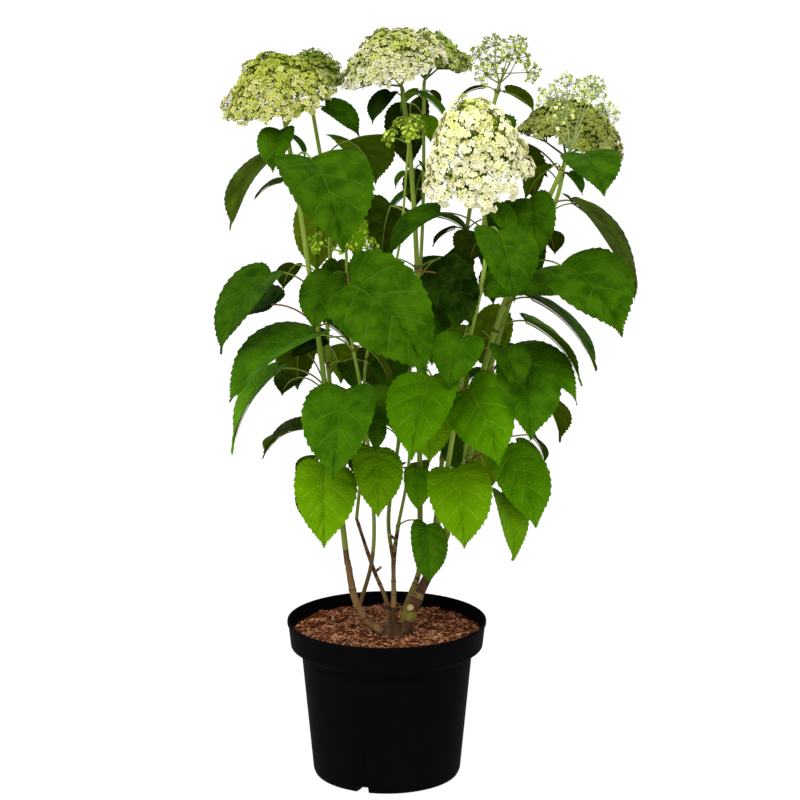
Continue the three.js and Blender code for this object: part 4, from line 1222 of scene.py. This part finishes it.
def make_canes():
    """Woody canes with nodes, dark patches and cut stubs."""
    for index, (name, cane) in enumerate(CANES.items()):
        pile = Pile()
        ts = np.linspace(0, 1, 90)
        line = path_points(cane.path, ts)
        climb = np.r_[0, np.cumsum(np.linalg.norm(np.diff(line, axis=0), axis=1))]
        random = np.random.default_rng(70 + index)
        at = np.cumsum(random.uniform(16, 44, 8))
        collars = sum(np.exp(-(((climb - c) / 1.8) ** 2)) for c in at)
        patch = np.interp(climb, np.linspace(0, climb[-1], 12), random.random(12))
        plain = 3 if name in ("cane_right", "cane_upright") else 0
        tones = np.where((collars > 0.9) | (patch > 0.7), 1, np.where(patch < 0.62, plain, 0))
        relief = bark_relief(70 + index, cane.radius[1] * 0.3)
        radii = mix(*cane.radius, ts) * (0.96 + 0.13 * np.minimum(collars, 1))
        tube(pile, line, radii, 22, tones, relief)
        for share, bearing, long in STUBS.get(name, ()):
            foot = path_points(cane.path, share)[0]
            outward = unit([math.sin(bearing * DEG), -math.cos(bearing * DEG), 0.9])
            thick = mix(*cane.radius, share) * 0.8 * np.array([1, 0.9, 0.86, 0.9, 0.84])
            tube(pile, straight(foot, foot + long * outward, 5), thick, 12, np.array([0, 0, 1, 2]))
        pile.build(name + "_bark", BARK_FINISHES, "bark", [name])


def make_crown():
    """The knobby foot that the canes spring from."""
    rings, sides = 22, 48
    t = np.linspace(0, 1, rings)[:, None]
    a = (np.arange(sides) * 2 * math.pi / sides)[None]
    reach = CROWN.radius * np.cos(t * math.pi / 2) ** 0.8
    z = SOIL.middle - 2 + (CROWN.height + 1.5) * np.sin(t * math.pi / 2) ** 1.1 + 0 * a
    at = np.stack([reach * np.cos(a), reach * np.sin(a), z], -1).reshape(-1, 3)
    push = [noise.noise(Vector(p * 0.13)) * 3.2 + noise.noise(Vector(p * 0.4)) * 1.2 for p in at]
    at = at + unit(at - [0, 0, SOIL.middle - 8]) * (np.array(push) - 1.2)[:, None]
    at[:, 2] = np.maximum(at[:, 2], SOIL.middle - 3)
    pile = Pile()
    pile.add(at + [CROWN.x, CROWN.y, 0], grid_faces(rings, sides, wrap=True), 1)
    pile.build("crown_bark", BARK_FINISHES, "bark", ["root_crown"])


# -------------------- the whole plant

grown = grow_shoots()
make_pot()
make_soil()
make_crown()
make_canes()
for index, (name, shoot) in enumerate(SHOOTS.items()):
    leaves, stems, flowers = Pile(), Pile(), Pile()
    for leaf in map(drawn, grown[name]):
        fine_leaf(leaves, leaf, leaf_shade_tone(leaf, name))
        fine_stalk(stems, leaf)
    fine_stem(stems, shoot, grown[name])
    node = "foliage_" + name
    leaves.build("leaves_" + name, LEAF_FINISHES, "foliage", [node])
    stems.build("stems_" + name, STEM_FINISHES, "foliage", [node])
    if "head" in shoot:
        neck(flowers, shoot)
        if name in OPENED:
            dense_head(flowers, shoot, name, 500 + index)
        else:
            open_head(flowers, shoot, 500 + index)
        slot = "blossom" if name in OPENED else "bud"
        surfaces = flower_finishes(name, TINTS_AND_SHADE[name])
        flowers.build("head_" + name, surfaces, slot, ["flowers_" + name])

# -------------------- floor, light and camera


FLOOR_GLOW = 0.93  # enough to make the ground white
SKY_LIGHT = 0.9
CAMERA_DIP = 12.6  # degrees below level


def make_floor():
    mesh = bpy.data.meshes.new("floor")
    mesh.from_pydata([(-30, -30, 0), (30, -30, 0), (30, 30, 0), (-30, 30, 0)], [], [(0, 1, 2, 3)])
    floor = bpy.data.objects.new("floor", mesh)
    paper = finish("studio_floor", (96, 96, 96), (98, 98, 98), 0.9, 2, gloss=0.0)
    shader = paper.node_tree.nodes["Principled BSDF"]
    shader.inputs["Emission Color"].default_value = (1, 1, 1, 1)
    shader.inputs["Emission Strength"].default_value = FLOOR_GLOW
    mesh.materials.append(paper)
    bpy.context.scene.collection.objects.link(floor)


def add_sun(name, at, toward, energy, angle):
    data = bpy.data.lights.new(name, "SUN")
    data.energy = energy
    data.angle = angle
    light = bpy.data.objects.new(name, data)
    light.location = at
    light.rotation_euler = (Vector(toward) - Vector(at)).to_track_quat("-Z", "Y").to_euler()
    bpy.context.scene.collection.objects.link(light)


make_floor()
world = bpy.data.worlds.new("studio")
bpy.context.scene.world = world
world.use_nodes = True
world.node_tree.nodes["Background"].inputs["Color"].default_value = (1, 1, 1, 1)
world.node_tree.nodes["Background"].inputs["Strength"].default_value = SKY_LIGHT
add_sun("key", (-0.9, -1.9, 3.0), (0, 0, 0.4), 2.3, 0.7)

scene = bpy.context.scene
scene.view_settings.view_transform = "Standard"
scene.view_settings.look = "None"
camera_data = bpy.data.cameras.new("camera")
camera_data.lens = 136.2
camera_data.sensor_width = 36
camera = bpy.data.objects.new("camera", camera_data)
camera.location = (0.015, -3.3, 1.174)
camera.rotation_euler = ((90 - CAMERA_DIP) * DEG, 0, 0)
scene.collection.objects.link(camera)
scene.camera = camera
